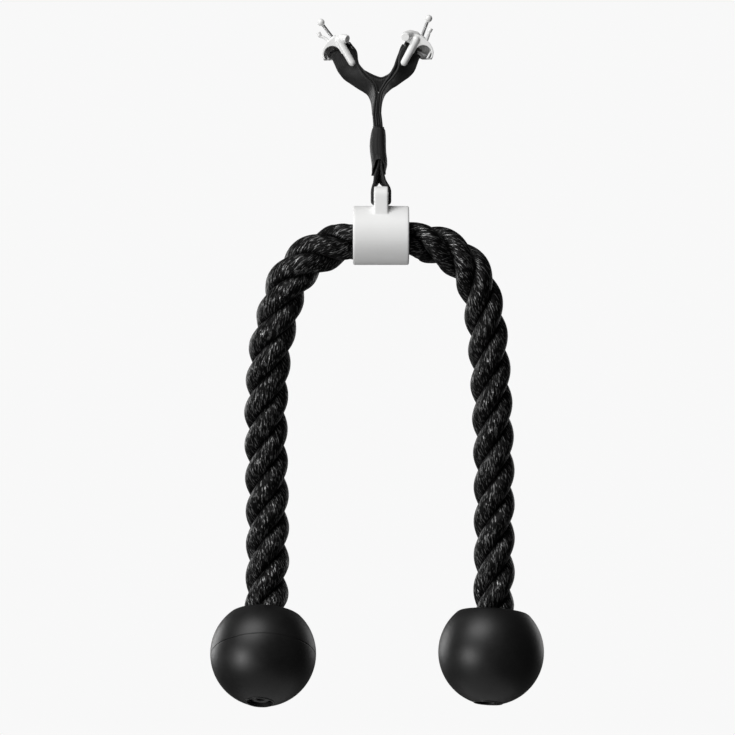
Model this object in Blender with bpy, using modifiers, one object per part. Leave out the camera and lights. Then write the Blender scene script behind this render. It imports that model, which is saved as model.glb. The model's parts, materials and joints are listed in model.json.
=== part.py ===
"""Triceps rope attachment: a thick three-strand rope through a white collar, a rubber stop ball on each end,
and a black webbing tether that forks to two white toggles, each with a ball-ended steel cable.
Metres, +Z up. The origin is at the fork of the tether, and the front of the object faces -Y."""
import math

import bmesh
import bpy
from mathutils import Matrix, Vector

# Fits
GAP = 0.0003            # clearance between touching pieces
OVERRUN = 0.004         # how far a cutter runs past what it cuts

# Webbing of the tether
WEB_WIDTH = 0.015
WEB_THICK = 0.0016
WEB_EDGE = 0.0004       # rounding of the woven edge
BAND_STEP = 0.0026      # distance between the samples of a band

# Keeper, the woven sleeve over the seam
KEEPER_TOP = 0.0350     # below the origin
KEEPER_LENGTH = 0.0344
KEEPER_WALL = 0.0015
KEEPER_CORNER = 0.0030
KEEPER_SLACK = 0.0003   # room between the plies and the sleeve
KEEPER_NOTCH = 0.0055   # height of the raised middle of its lower hem
KEEPER_SHIFT = -0.0021  # the tether hangs a little to one side
STRAP_SHIFT = -0.0031
STRAP_STEADY = 0.024    # below the origin, where the plies are edge on

# Loop of thinner webbing through the lug
LUG_WEB_THICK = 0.0021
LUG_LOOP_OVERLAP = 0.0085
PLY_END_GAP = 0.0029    # between the ends of the tether's loops and of the lug's loop, inside the keeper
LOOP_END_DEPTH = KEEPER_LENGTH - LUG_LOOP_OVERLAP - PLY_END_GAP     # how far the tether's loops reach into it
LUG_DROP = 0.00925      # from the keeper's hem to the lug's top

# Collar and its lug
COLLAR_RADIUS = 0.0211
COLLAR_LENGTH = 0.040
COLLAR_EDGE = 0.0009
COLLAR_WALL = 0.0038    # under the bore, where it is thinnest
BORE_DROP = 0.0034      # the bore lies below the collar's axis
BORE_RADIUS = COLLAR_RADIUS - BORE_DROP - COLLAR_WALL
BORE_MOUTH = 0.0014
LUG_THICK = 0.010
LUG_WIDTH = 0.031
LUG_RISE = 0.01355      # its top, above the collar's barrel
COLLAR_DEPTH = KEEPER_TOP + KEEPER_LENGTH + LUG_DROP + LUG_RISE + COLLAR_RADIUS     # its axis
LUG_CORNER = 0.0070
LUG_EDGE = 0.0014
LUG_FILLET = 0.0036
FILLET_SINK = 0.00006   # its edge lies this far under the barrel's skin
FILLET_FADE_SHARE = 0.2 # how much smaller it is at the lug's ends
EYE_WIDTH = 0.018
EYE_HEIGHT = 0.0036
EYE_TOP = 0.0037        # its upper side, above the barrel
EYE_CORNER = 0.0014

# Rope
ROPE_RADIUS = 0.0150
ROPE_STEP = 0.010       # distance between the points of a rope's tube
NECK_LENGTH = 0.020     # the rope swells to its full size over this length
LEG_START_SHARE = 0.24  # share of the drop at which the straight leg begins

# Stop balls
BALL_RADIUS = 0.0378
BALL_FLAT = 0.0285      # height of the flat top above the centre
BALL_EDGE = 0.0022
SOCKET_RADIUS = 0.0157
SOCKET_DEPTH = 0.0430   # how far the rope goes in
RECESS_RADIUS = 0.00915
RECESS_DEPTH = 0.0045
LIP_WIDTH = 0.0014
LIP_HEIGHT = 0.0006
SEAT_RADIUS = 0.0060    # waist between the socket and the recess
CONE_SHARE = 0.8        # steepness of the socket's floor
FERRULE_RADIUS = 0.0046
FERRULE_BORE = 0.0026
FERRULE_LENGTH = 0.022
FLANGE_RADIUS = 0.0064
FLANGE_THICK = 0.0014
WASHER_RADIUS = 0.0084
WASHER_THICK = 0.0012

# Places of the two balls, and how far each axis leans
LEG_DROP = 0.2953       # the left ball's middle, below the bore's axis
RIGHT_LIFT = 0.0008     # how much higher the right ball hangs
BORE_DEPTH = COLLAR_DEPTH + BORE_DROP
LEFT_BALL = (-0.0841, -0.0046, -BORE_DEPTH - LEG_DROP)
RIGHT_BALL = (0.0787, -0.0006, -BORE_DEPTH - LEG_DROP + RIGHT_LIFT)
LEFT_BALL_TILT, LEFT_BALL_LEAN = math.radians(24), math.radians(3.4)
RIGHT_BALL_TILT, RIGHT_BALL_LEAN = math.radians(12.4), math.radians(3.8)

# Toggles
LEFT_BAR = (-0.0265, 0.0, 0.0196)
RIGHT_BAR = (0.0218, 0.0, 0.0199)
LEFT_LEAN, RIGHT_LEAN = math.radians(30), math.radians(-28.1)
BAR_RADIUS = 0.0015
BAR_SEAT = 0.0008       # how far the bar goes into each end wall
WEB_OFFSET = -0.0037    # middle of the webbing along the bar
STEM_RADIUS = 0.0028
STEM_TIP_RADIUS = 0.0025
STEM_LENGTH = 0.0139    # below the bar
STEM_GAP = 0.0004       # between the stem and the webbing
STEM_HEAD_SHARE = 0.9   # height of the stem's top, in the hood's rise
HOOD_OUTER = 0.0162     # along the bar from the stem, outwards
HOOD_INNER = 0.0056     # and inwards
HOOD_RISE = 0.0108      # crown above the bar
HOOD_SKIRT = 0.0026     # rim below the bar
HOOD_BACK = 0.0060
HOOD_WALL = 0.0013
HOOD_ROUND = 0.0024
HOOD_COVER_SHARE = 0.6  # how much of the hood's wall lies in front of the stem's middle
HOOD_OUTLINE_SHARES = (
    (-1.00, 0.00), (-0.99, 0.22), (-0.95, 0.42), (-0.86, 0.60), (-0.73, 0.76), (-0.50, 0.92), (-0.20, 1.00),
    (0.12, 1.00), (0.50, 0.93), (0.82, 0.72), (0.97, 0.42), (1.00, 0.00),
)
WING_FOOT_AT = -0.0100  # along the bar, where the wing's foot starts to rise
WING_FOOT_RISE = 0.0007 # its height above the bar at the wing's tip
RIB_AT = -0.0136        # outer face of the rib that holds the bar's outer end
RIB_THICK = 0.0013
RIB_HALF_DEPTH = 0.0030
RIB_TOP = 0.0056
OPEN_FRONT_TOP = 0.0026 # the front wall ends here on the inner side of the stem
ARCH_RADIUS = 0.0060
ARCH_CENTRE = -0.0091   # along the bar
ARCH_DROP = 0.0006      # its centre above the bar
HORN_ROUND = 0.0004
# The horn's middle line from inside the crown to its face: along the bar, in front of it, above it,
# and its radius
LEFT_HORN = (
    (-0.0020, 0.0010, 0.0070, 0.0034), (0.0006, 0.0034, 0.0073, 0.0035), (0.0031, 0.0062, 0.0066, 0.0034),
    (0.0046, 0.0078, 0.0055, 0.0032), (0.0056, 0.0088, 0.0044, 0.0028),
)
RIGHT_HORN = (
    (-0.0018, 0.0010, 0.0082, 0.0036), (0.0020, 0.0026, 0.0093, 0.0037), (0.0056, 0.0048, 0.0082, 0.0036),
    (0.0074, 0.0078, 0.0060, 0.0034), (0.0077, 0.0108, 0.0046, 0.0031),
)
CROWN_RADIUS = 0.0042
CROWN_TOP_RADIUS = 0.0022
CROWN_LIFT = 0.0012     # the boss round the cable, above the hood

# Cable ends of the toggles
CABLE_RADIUS = 0.0011
CABLE_BALL_RADIUS = 0.00265
CABLE_AT = -0.0026      # along the bar from the stem
CABLE_FRONT = 0.0015    # in front of the bar
CABLE_SEAT = 0.0024
CABLE_REACH = 0.0250    # middle of the ball above the bar
LEFT_CABLE_SWAY, RIGHT_CABLE_SWAY = -0.0020, 0.0021
TAIL_RADIUS = 0.0011
TAIL_HEAD_RADIUS = 0.0016
TAIL_HEAD_LENGTH = 0.0032
TAIL_AT = -0.0066       # along the bar from the stem
TAIL_SEAT = 0.0010
TAIL_REACH = 0.0196
LEFT_TAIL_SWAY, RIGHT_TAIL_SWAY = -0.0034, 0.0012
TAIL_OUTLINE_AT = 5.20  # its place in the list of the hood's outline
TAIL_BEND_SHARES = ((0.30, 0.42), (0.68, 0.62))     # sideways and up, between its foot and its head
TAIL_SHOULDER_SHARE = 0.8                           # where the head is full size, in the head's length

# Routes in pixels of the picture: along each rope, and down each band of the tether
LEFT_ROPE_PX = (
    (353, 240), (346, 241.5), (339, 244.3), (323, 250), (311, 257), (300.5, 266), (291, 278), (284.5, 292),
    (280.5, 306), (277, 320), (273, 335), (270, 350), (268, 370), (266.5, 390), (265.5, 410), (265.5, 440),
    (265.8, 470), (266.5, 500), (266.8, 530), (267, 560), (266.6, 590), (265.7, 617),
)
RIGHT_ROPE_PX = (
    (409, 240), (417, 240.4), (425, 241.5), (438, 246), (450, 251.5), (461, 259.5), (470, 270), (477, 283),
    (481.5, 297), (484.5, 312), (487, 330), (489, 350), (490.5, 370), (492, 395), (493.3, 420), (494.3, 450),
    (494.9, 480), (495, 510), (495, 540), (494.9, 575), (493.8, 613.2),
)
LEFT_BAND_PX = (
    (341.5, 51.2), (344.6, 56.8), (347.5, 63.5), (352, 71), (360, 77.5), (367.6, 82.3), (371.8, 88.8),
    (374, 97), (374.1, 110.5),
)
RIGHT_BAND_PX = (
    (414, 51), (410.6, 57), (406.6, 63.6), (402.3, 70), (396, 76.3), (389.6, 81.3), (385, 88), (381, 97),
    (379.4, 110.5),
)
FORK_LAP_PX = (
    (370, 73.3), (375, 75.4), (381, 77), (386, 75.6), (390.5, 73.6), (386, 82), (381.6, 87), (379.4, 90.5),
    (377.6, 90.5), (375.6, 87), (372, 82),
)
PIXEL = 0.000715        # one pixel of the picture
ORIGIN_PX = (381, 77)
# Turn of a band from broadside at the bar to edge on at the strap, in shares of a quarter turn
BAND_TURN_SHARES = (0.0, 0.0, 0.0, 0.02, 0.12, 0.42, 0.82, 1.0, 1.0)
# Distance between its two layers, from open at the bar to closed at the strap
BAND_OPEN_SHARES = (1.0, 1.0, 1.0, 1.0, 1.0, 0.9, 0.45, 0.08, 0.0)

# The webbing lies round the bar at this radius, and its front and back layers that far from the middle
LAYER_SPREAD = BAR_RADIUS + GAP + WEB_THICK / 2
PLY_PITCH = WEB_THICK + GAP

SIDES = 24              # facets round a small turned piece
COLLECTION = "triceps_rope"


def material(name, colour, roughness, metallic=0.0):
    """A plain finish in the part's own colour."""
    made = bpy.data.materials.new(name)
    made.use_nodes = True
    shader = made.node_tree.nodes["Principled BSDF"]
    shader.inputs["Base Color"].default_value = (*colour, 1.0)
    shader.inputs["Roughness"].default_value = roughness
    shader.inputs["Metallic"].default_value = metallic
    made.diffuse_color = (*colour, 1.0)
    return made


FINISHES = {
    "webbing": ((0.020, 0.020, 0.022), 0.85),
    "rope": ((0.012, 0.012, 0.013), 0.55),
    "rubber": ((0.018, 0.018, 0.019), 0.60),
    "white_plastic": ((0.86, 0.86, 0.85), 0.45),
    "steel": ((0.42, 0.42, 0.42), 0.35, 1.0),
    "black_plastic": ((0.03, 0.03, 0.03), 0.40),
}


def place(obj, name, collection, finish=None, frame=None):
    """Names an object, gives it a material of its own, and puts it in its collection and frame."""
    obj.name = name
    obj.data.name = name
    for holder in list(obj.users_collection):
        holder.objects.unlink(obj)
    collection.objects.link(obj)
    if finish:
        obj.data.materials.clear()
        obj.data.materials.append(material(name + "_" + finish, *FINISHES[finish]))
    if frame:
        obj.parent = frame
    return obj


def boolean(obj, other, operation="DIFFERENCE"):
    """Cuts or joins with another object, which then only guides the shape."""
    step = obj.modifiers.new(operation.title() + " " + other.name, "BOOLEAN")
    step.operation = operation
    step.solver = "EXACT"
    step.object = other
    other.hide_render = True
    other.display_type = "WIRE"
    return obj


def bevel(obj, width, segments=3, angle=math.radians(35)):
    step = obj.modifiers.new("Rounded edges", "BEVEL")
    step.width = width
    step.segments = segments
    step.limit_method = "ANGLE"
    step.angle_limit = angle
    return obj


def smooth(mesh, angle=math.radians(35)):
    mesh.shade_smooth()
    mesh.set_sharp_from_angle(angle=angle)


def from_bmesh(shape, name):
    mesh = bpy.data.meshes.new(name)
    bmesh.ops.recalc_face_normals(shape, faces=shape.faces)
    shape.to_mesh(mesh)
    shape.free()
    smooth(mesh)
    return bpy.data.objects.new(name, mesh)


def box(name, low, high):
    """A block between two corners."""
    low, high = Vector(low), Vector(high)
    shape = bmesh.new()
    bmesh.ops.create_cube(shape, size=1)
    size = Matrix.Diagonal(high - low).to_4x4()
    bmesh.ops.transform(shape, matrix=Matrix.Translation((low + high) / 2) @ size, verts=shape.verts)
    return from_bmesh(shape, name)


def sorted_corners(first, second):
    """The lowest and the highest corner of the block between two points."""
    return [[pick(a, b) for a, b in zip(first, second)] for pick in (min, max)]


def rod(name, start, end, radius, end_radius=None, sides=SIDES):
    """A round bar or cone between two points."""
    start, end = Vector(start), Vector(end)
    along = end - start
    shape = bmesh.new()
    bmesh.ops.create_cone(
        shape, cap_ends=True, segments=sides, radius1=radius,
        radius2=radius if end_radius is None else end_radius, depth=along.length,
    )
    turn = Vector((0, 0, 1)).rotation_difference(along).to_matrix().to_4x4()
    bmesh.ops.transform(shape, matrix=Matrix.Translation((start + end) / 2) @ turn, verts=shape.verts)
    return from_bmesh(shape, name)


def turned(name, profile, closed=False, sides=SIDES):
    """A profile of (radius, height) points, from top to bottom of its outer side, spun about Z."""
    mesh = bpy.data.meshes.new(name)
    count = len(profile)
    edges = [(i, (i + 1) % count) for i in range(count if closed else count - 1)]
    mesh.from_pydata([(r, 0, z) for r, z in profile], edges, [])
    obj = bpy.data.objects.new(name, mesh)
    spin = obj.modifiers.new("Turn", "SCREW")
    spin.steps = spin.render_steps = sides
    spin.use_merge_vertices = True
    spin.merge_threshold = GAP / 10
    spin.use_smooth_shade = True
    return obj


def tube_curve(name, points, radius, radii=None, resolution=2):
    """A round tube along points, with filled ends."""
    data = bpy.data.curves.new(name, "CURVE")
    data.dimensions = "3D"
    data.bevel_depth = radius
    data.bevel_resolution = resolution
    data.use_fill_caps = True
    line = data.splines.new("POLY")
    line.points.add(len(points) - 1)
    for i, (spot, point) in enumerate(zip(line.points, points)):
        spot.co = (*point, 1)
        spot.radius = radii[i] if radii else 1
    return bpy.data.objects.new(name, data)


def plate(name, points, half_depth, at=(0, 0, 0), plane="XZ"):
    """A flat piece with its outline in the named plane, as thick as twice the half depth."""
    data = bpy.data.curves.new(name, "CURVE")
    data.dimensions = "2D"
    data.fill_mode = "BOTH"
    data.extrude = half_depth
    line = data.splines.new("POLY")
    line.points.add(len(points) - 1)
    for spot, (across, along) in zip(line.points, points):
        spot.co = (across, along, 0, 1)
    line.use_cyclic_u = True
    turns = {
        "XY": Matrix.Identity(4),
        "XZ": Matrix.Rotation(math.pi / 2, 4, "X"),
        "YZ": Matrix.Rotation(math.pi / 2, 4, "Z") @ Matrix.Rotation(math.pi / 2, 4, "X"),
    }
    obj = bpy.data.objects.new(name, data)
    obj.matrix_world = Matrix.Translation(at) @ turns[plane]
    return as_mesh(obj, name)


def as_mesh(curve, name):
    """The mesh of a curve object, in its place, with its caps welded on."""
    bpy.context.scene.collection.objects.link(curve)
    bpy.context.view_layer.update()
    seen = curve.evaluated_get(bpy.context.evaluated_depsgraph_get())
    mesh = bpy.data.meshes.new_from_object(seen)
    shape = bmesh.new()
    shape.from_mesh(mesh)
    bmesh.ops.remove_doubles(shape, verts=shape.verts, dist=GAP / 100)
    bmesh.ops.recalc_face_normals(shape, faces=shape.faces)
    shape.to_mesh(mesh)
    shape.free()
    obj = bpy.data.objects.new(name, mesh)
    obj.matrix_world = curve.matrix_world
    bpy.data.objects.remove(curve, do_unlink=True)
    smooth(mesh)
    return obj


def arc(centre, radius, start, end, steps):
    """Points on a circular arc, angles in degrees."""
    angles = [math.radians(start + (end - start) * i / steps) for i in range(steps + 1)]
    return [(centre[0] + radius * math.cos(a), centre[1] + radius * math.sin(a)) for a in angles]


def rounded_rectangle(low, high, corner, steps=4):
    """The outline of a rectangle with round corners, between two corners."""
    (x0, y0), (x1, y1) = low, high
    return (
        arc((x1 - corner, y0 + corner), corner, -90, 0, steps)
        + arc((x1 - corner, y1 - corner), corner, 0, 90, steps)
        + arc((x0 + corner, y1 - corner), corner, 90, 180, steps)
        + arc((x0 + corner, y0 + corner), corner, 180, 270, steps)
    )


def fitted(route_px, start, end):
    """A route of the picture, stretched between its real ends in X and Z."""
    (x0, y0), (x1, y1) = route_px[0], route_px[-1]
    return [
        Vector((start.x + (end.x - start.x) * (x - x0) / (x1 - x0), 0,
                start.z + (end.z - start.z) * (y - y0) / (y1 - y0)))
        for x, y in route_px
    ]


def smooth_line(points, steps=10):
    """A smooth curve through points: each sample is its place and its position in the list of points."""
    line = []
    count = len(points)
    for i in range(count - 1):
        p1, p2 = points[i], points[i + 1]
        p0 = points[i - 1] if i else 2 * p1 - p2
        p3 = points[i + 2] if i + 2 < count else 2 * p2 - p1
        for k in range(steps):
            t = k / steps
            place_now = 0.5 * (
                2 * p1 + (p2 - p0) * t + (2 * p0 - 5 * p1 + 4 * p2 - p3) * t ** 2
                + (3 * p1 - p0 - 3 * p2 + p3) * t ** 3
            )
            line.append((place_now, i + t))
    line.append((points[-1].copy(), count - 1.0))
    return line


def evenly(line, spacing):
    """The same curve with its samples at an even spacing."""
    lengths = [0.0]
    for (a, _), (b, _) in zip(line, line[1:]):
        lengths.append(lengths[-1] + (b - a).length)
    count = max(2, round(lengths[-1] / spacing))
    result = []
    i = 0
    for k in range(count + 1):
        wanted = lengths[-1] * k / count
        while i < len(lengths) - 2 and lengths[i + 1] < wanted:
            i += 1
        t = (wanted - lengths[i]) / (lengths[i + 1] - lengths[i])
        (a, u), (b, v) = line[i], line[i + 1]
        result.append((a.lerp(b, t), u + (v - u) * t))
    return result


def share_at(shares, position):
    """A value between the entries of a table."""
    i = min(int(position), len(shares) - 2)
    t = position - i
    return shares[i] * (1 - t) + shares[i + 1] * t


def ribbon(name, stations, width, thick):
    """A flat band through stations of (middle, width direction, thickness direction)."""
    edge = WEB_EDGE
    section = [
        (width / 2, thick / 2 - edge), (width / 2 - edge, thick / 2), (edge - width / 2, thick / 2),
        (-width / 2, thick / 2 - edge), (-width / 2, edge - thick / 2), (edge - width / 2, -thick / 2),
        (width / 2 - edge, -thick / 2), (width / 2, edge - thick / 2),
    ]
    shape = bmesh.new()
    rings = [
        [shape.verts.new(middle + across * a + through * b) for a, b in section]
        for middle, across, through in stations
    ]
    for near, far in zip(rings, rings[1:]):
        for i in range(len(section)):
            j = (i + 1) % len(section)
            shape.faces.new((near[i], near[j], far[j], far[i]))
    shape.faces.new(rings[0])
    shape.faces.new(rings[-1])
    return from_bmesh(shape, name)


def band_loop(name, sign, route_px, bar, lean):
    """One loop of the tether: up the strap, round the toggle's bar and back, turning a quarter on the way."""
    down = Vector((sign * math.sin(abs(lean)), 0, -math.cos(lean)))
    inward = Vector((-sign * down.z, 0, sign * down.x))
    front = Vector((0, -1, 0))
    top = Vector(bar) + WEB_OFFSET * inward
    foot = Vector((STRAP_SHIFT - sign * PLY_PITCH, 0, -STRAP_STEADY))
    line = evenly(smooth_line(fitted(route_px, top, foot)), BAND_STEP)
    stations = []
    for i, (middle, position) in enumerate(line):
        run = (line[min(i + 1, len(line) - 1)][0] - line[max(i - 1, 0)][0]).normalized()
        if i == 0:
            run = down
        side = Vector((-sign * run.z, 0, sign * run.x))
        turn = share_at(BAND_TURN_SHARES, position) * math.pi / 2
        across = side * math.cos(turn) + front * math.sin(turn)
        outward = front * math.cos(turn) - side * math.sin(turn)
        share = share_at(BAND_OPEN_SHARES, position)
        spread = LAYER_SPREAD * share + PLY_PITCH / 2 * (1 - share)
        stations.append((middle, across, outward, spread))
    for x, depth in ((KEEPER_SHIFT, KEEPER_TOP), (KEEPER_SHIFT, KEEPER_TOP + LOOP_END_DEPTH)):
        middle = Vector((x - sign * PLY_PITCH, 0, -depth))
        stations.append((middle, front, Vector((-sign, 0, 0)), PLY_PITCH / 2))
    layers = [
        [(middle + outward * spread * face, across, outward * face)
         for middle, across, outward, spread in stations]
        for face in (1, -1)
    ]
    turns = 8
    half_turn = []
    for k in range(1, turns):
        angle = math.pi * k / turns
        radial = front * math.cos(angle) - down * math.sin(angle)
        half_turn.append((top + radial * LAYER_SPREAD, inward, radial))
    return ribbon(name, layers[0][::-1] + half_turn + layers[1], WEB_WIDTH, WEB_THICK)


def tether(parts, cutters):
    """The forked strap, its lap and keeper, and the loop through the collar's lug."""
    place(band_loop("left_loop", 1, LEFT_BAND_PX, LEFT_BAR, LEFT_LEAN), "webbing_left_loop", parts, "webbing")
    right_loop = band_loop("right_loop", -1, RIGHT_BAND_PX, RIGHT_BAR, RIGHT_LEAN)
    place(right_loop, "webbing_right_loop", parts, "webbing")

    lap_middle = LAYER_SPREAD + WEB_THICK / 2 + 2 * GAP + WEB_THICK / 2
    outline = [((x - ORIGIN_PX[0]) * PIXEL, (ORIGIN_PX[1] - y) * PIXEL) for x, y in FORK_LAP_PX]
    lap = plate("lap", outline, WEB_THICK / 2, (0, lap_middle, 0))
    place(lap, "fork_lap", parts, "webbing")

    inside = (2 * PLY_PITCH - GAP / 2 + KEEPER_SLACK, WEB_WIDTH / 2 + KEEPER_SLACK)
    outside = (inside[0] + KEEPER_WALL, inside[1] + KEEPER_WALL)
    middle = (KEEPER_SHIFT, 0, -KEEPER_TOP - KEEPER_LENGTH / 2)
    sleeve = plate("sleeve", rounded_rectangle((-outside[0], -outside[1]), outside, KEEPER_CORNER),
                   KEEPER_LENGTH / 2, middle, "XY")
    room = plate("room", rounded_rectangle((-inside[0], -inside[1]), inside, KEEPER_CORNER - KEEPER_WALL),
                 KEEPER_LENGTH / 2 + OVERRUN, middle, "XY")
    place(room, "keeper_room", cutters)
    hem = -KEEPER_TOP - KEEPER_LENGTH
    notch = plate("notch", [(-inside[0], hem - GAP), (inside[0], hem - GAP), (0, hem + KEEPER_NOTCH)],
                  outside[1] + OVERRUN, (KEEPER_SHIFT, 0, 0))
    place(notch, "keeper_notch", cutters)
    boolean(boolean(sleeve, room), notch)
    place(sleeve, "keeper_sleeve", parts, "webbing")

    half_lug = LUG_THICK / 2 + GAP + LUG_WEB_THICK / 2
    half_ply = LUG_WEB_THICK / 2 + GAP / 2
    lug_top = -COLLAR_DEPTH + COLLAR_RADIUS + LUG_RISE
    run_height = -COLLAR_DEPTH + COLLAR_RADIUS + EYE_TOP - GAP - LUG_WEB_THICK / 2
    corner = LUG_WEB_THICK / 2 + GAP / 2
    loop_start = hem + LUG_LOOP_OVERLAP
    left_side = [
        (KEEPER_SHIFT - half_ply, loop_start), (KEEPER_SHIFT - half_ply, hem),
        (-half_ply / 2 - half_lug / 2 + KEEPER_SHIFT / 2, (hem + lug_top) / 2), (-half_lug, lug_top - GAP),
    ]
    right_side = [
        (KEEPER_SHIFT + half_ply, loop_start), (KEEPER_SHIFT + half_ply, hem),
        (half_ply / 2 + half_lug / 2 + KEEPER_SHIFT / 2, (hem + lug_top) / 2), (half_lug, lug_top - GAP),
    ]
    bottom = arc((corner - half_lug, run_height + corner), corner, 180, 270, 5)
    bottom += arc((half_lug - corner, run_height + corner), corner, 270, 360, 5)
    route = [Vector((x, 0, z)) for x, z in left_side + bottom + right_side[::-1]]
    stations = []
    for i, spot in enumerate(route):
        run = (route[min(i + 1, len(route) - 1)] - route[max(i - 1, 0)]).normalized()
        stations.append((spot, Vector((0, 1, 0)), Vector((-run.z, 0, run.x))))
    place(ribbon("lug_ribbon", stations, WEB_WIDTH, LUG_WEB_THICK), "lug_loop", parts, "webbing")


def lug_fillet(name, side):
    """The hollow round between the lug's flank and the barrel, which falls away to both ends."""
    stations = 12
    half, reach = LUG_THICK / 2, LUG_WIDTH / 2 - LUG_EDGE
    shape = bmesh.new()
    rings = []
    for i in range(stations + 1):
        y = -reach + 2 * reach * i / stations
        size = LUG_FILLET * (1 - FILLET_FADE_SHARE * (y / reach) ** 2)
        skin = -COLLAR_DEPTH + math.sqrt(COLLAR_RADIUS ** 2 - y ** 2) - FILLET_SINK
        root = half - FILLET_SINK
        outline = arc((root + size, skin + size), size, 180, 270, 6)
        outline += [(root + size, skin - LUG_EDGE), (root - LUG_EDGE, skin - LUG_EDGE)]
        outline.append((root - LUG_EDGE, skin + size))
        rings.append([shape.verts.new((side * x, y, z)) for x, z in outline])
    for near, far in zip(rings, rings[1:]):
        for i in range(len(near)):
            j = (i + 1) % len(near)
            shape.faces.new((near[i], near[j], far[j], far[i]))
    shape.faces.new(rings[0])
    shape.faces.new(rings[-1])
    return from_bmesh(shape, name)


def collar(parts, cutters):
    """The white collar, with its lug and eye, and the rope inside its bore."""
    half = COLLAR_LENGTH / 2
    barrel = rod("barrel", (-half, 0, -COLLAR_DEPTH), (half, 0, -COLLAR_DEPTH), COLLAR_RADIUS, sides=56)
    bevel(barrel, COLLAR_EDGE)
    top = -COLLAR_DEPTH + COLLAR_RADIUS + LUG_RISE
    low = -COLLAR_DEPTH + BORE_RADIUS / 2
    lug_outline = rounded_rectangle((-LUG_WIDTH / 2, low), (LUG_WIDTH / 2, top), LUG_CORNER, 6)
    lug = bevel(plate("lug", lug_outline, LUG_THICK / 2, (0, 0, 0), "YZ"), LUG_EDGE)
    place(lug, "collar_lug", cutters)
    boolean(barrel, lug, "UNION")
    for name, side in (("left", -1), ("right", 1)):
        fillet = place(lug_fillet("fillet", side), f"lug_fillet_{name}", cutters)
        boolean(barrel, fillet, "UNION")
    eye_top = -COLLAR_DEPTH + COLLAR_RADIUS + EYE_TOP
    eye_low = eye_top - EYE_HEIGHT
    eye_outline = rounded_rectangle((-EYE_WIDTH / 2, eye_low), (EYE_WIDTH / 2, eye_top), EYE_CORNER)
    eye_reach = LUG_THICK / 2 + LUG_FILLET + GAP
    eye = place(plate("eye", eye_outline, eye_reach, (0, 0, 0), "YZ"), "lug_eye", cutters)
    boolean(barrel, eye)
    axis = -COLLAR_DEPTH - BORE_DROP
    mouth, end = BORE_RADIUS + BORE_MOUTH, half + OVERRUN
    bore = turned("bore", [
        (0, end), (mouth + OVERRUN, end), (BORE_RADIUS, half - BORE_MOUTH), (BORE_RADIUS, BORE_MOUTH - half),
        (mouth + OVERRUN, -end), (0, -end),
    ], sides=40)
    bore.matrix_world = Matrix.Translation((0, 0, axis)) @ Matrix.Rotation(math.pi / 2, 4, "Y")
    place(bore, "collar_bore", cutters)
    boolean(barrel, bore)
    place(barrel, "collar_shell", parts, "white_plastic")
    core = rod("core", (-half, 0, axis), (half, 0, axis), BORE_RADIUS - GAP, sides=24)
    place(core, "rope_core", parts, "rope")


def ball_frame(name, spot, tilt, lean, parts):
    """The empty at a ball's middle, with its Z axis along the rope's end."""
    frame = bpy.data.objects.new(name, None)
    frame.empty_display_size = BALL_RADIUS
    frame.matrix_world = (
        Matrix.Translation(spot) @ Matrix.Rotation(lean, 4, "Y") @ Matrix.Rotation(-tilt, 4, "X")
    )
    parts.objects.link(frame)
    return frame


def rope_route(route_px, start, end, tilt):
    """The middle of one leg: its shape in the picture, and a backward bow that ends along the ball's axis."""
    drop = start.z - end.z
    points = fitted(route_px, start, end)
    for point in points:
        share = (start.z - point.z) / drop
        bow = -math.tan(tilt) * drop * (share ** 3 - share ** 2)
        point.y = bow + end.y * (3 * share ** 2 - 2 * share ** 3)
    return points


def rope_side(side, sign, route_px, spot, tilt, lean, parts):
    """The free rope of one side: the bend out of the collar, then the leg down to its ball."""
    frame = ball_frame(f"{side}_ball_axis", spot, tilt, lean, parts)
    up = frame.matrix_world.to_3x3() @ Vector((0, 0, 1))
    start = Vector((-sign * COLLAR_LENGTH / 2, 0, -COLLAR_DEPTH - BORE_DROP))
    end = Vector(spot) + BALL_FLAT * up
    out = Vector((-sign, 0, 0))
    line = [point for point, _ in evenly(smooth_line(rope_route(route_px, start, end, tilt)), ROPE_STEP)]
    drop = start.z - end.z
    split = min(i for i, p in enumerate(line) if (start.z - p.z) / drop >= LEG_START_SHARE)
    middle = line[split]
    run = (line[split + 1] - line[split - 1]).normalized()
    short = ROPE_STEP / 4
    bend = [start + out * GAP, start + out * short] + line[1:split]
    bend += [middle - run * short, middle - run * GAP / 2]
    leg = [middle + run * GAP / 2, middle + run * short] + line[split + 1:-1]
    leg += [end + up * short, end + up * GAP]
    neck = (BORE_RADIUS - GAP) / ROPE_RADIUS
    radii = []
    travelled = 0.0
    for i, point in enumerate(bend):
        travelled += (point - bend[i - 1]).length if i else 0.0
        share = min(1.0, travelled / NECK_LENGTH)
        radii.append(neck + (1 - neck) * share * share * (3 - 2 * share))
    place(tube_curve("bend", bend, ROPE_RADIUS, radii, resolution=4), f"{side}_rope_bend", parts, "rope")
    place(tube_curve("leg", leg, ROPE_RADIUS, resolution=4), f"{side}_rope_leg", parts, "rope")
    whole = [start] + line[1:-1] + [end]
    length = sum((b - a).length for a, b in zip(whole, whole[1:]))
    print(f"{side} rope: {length:.4f} m from the collar to the ball, middle of the split at {tuple(middle)}")
    stop_ball(side, frame, parts)


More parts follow.
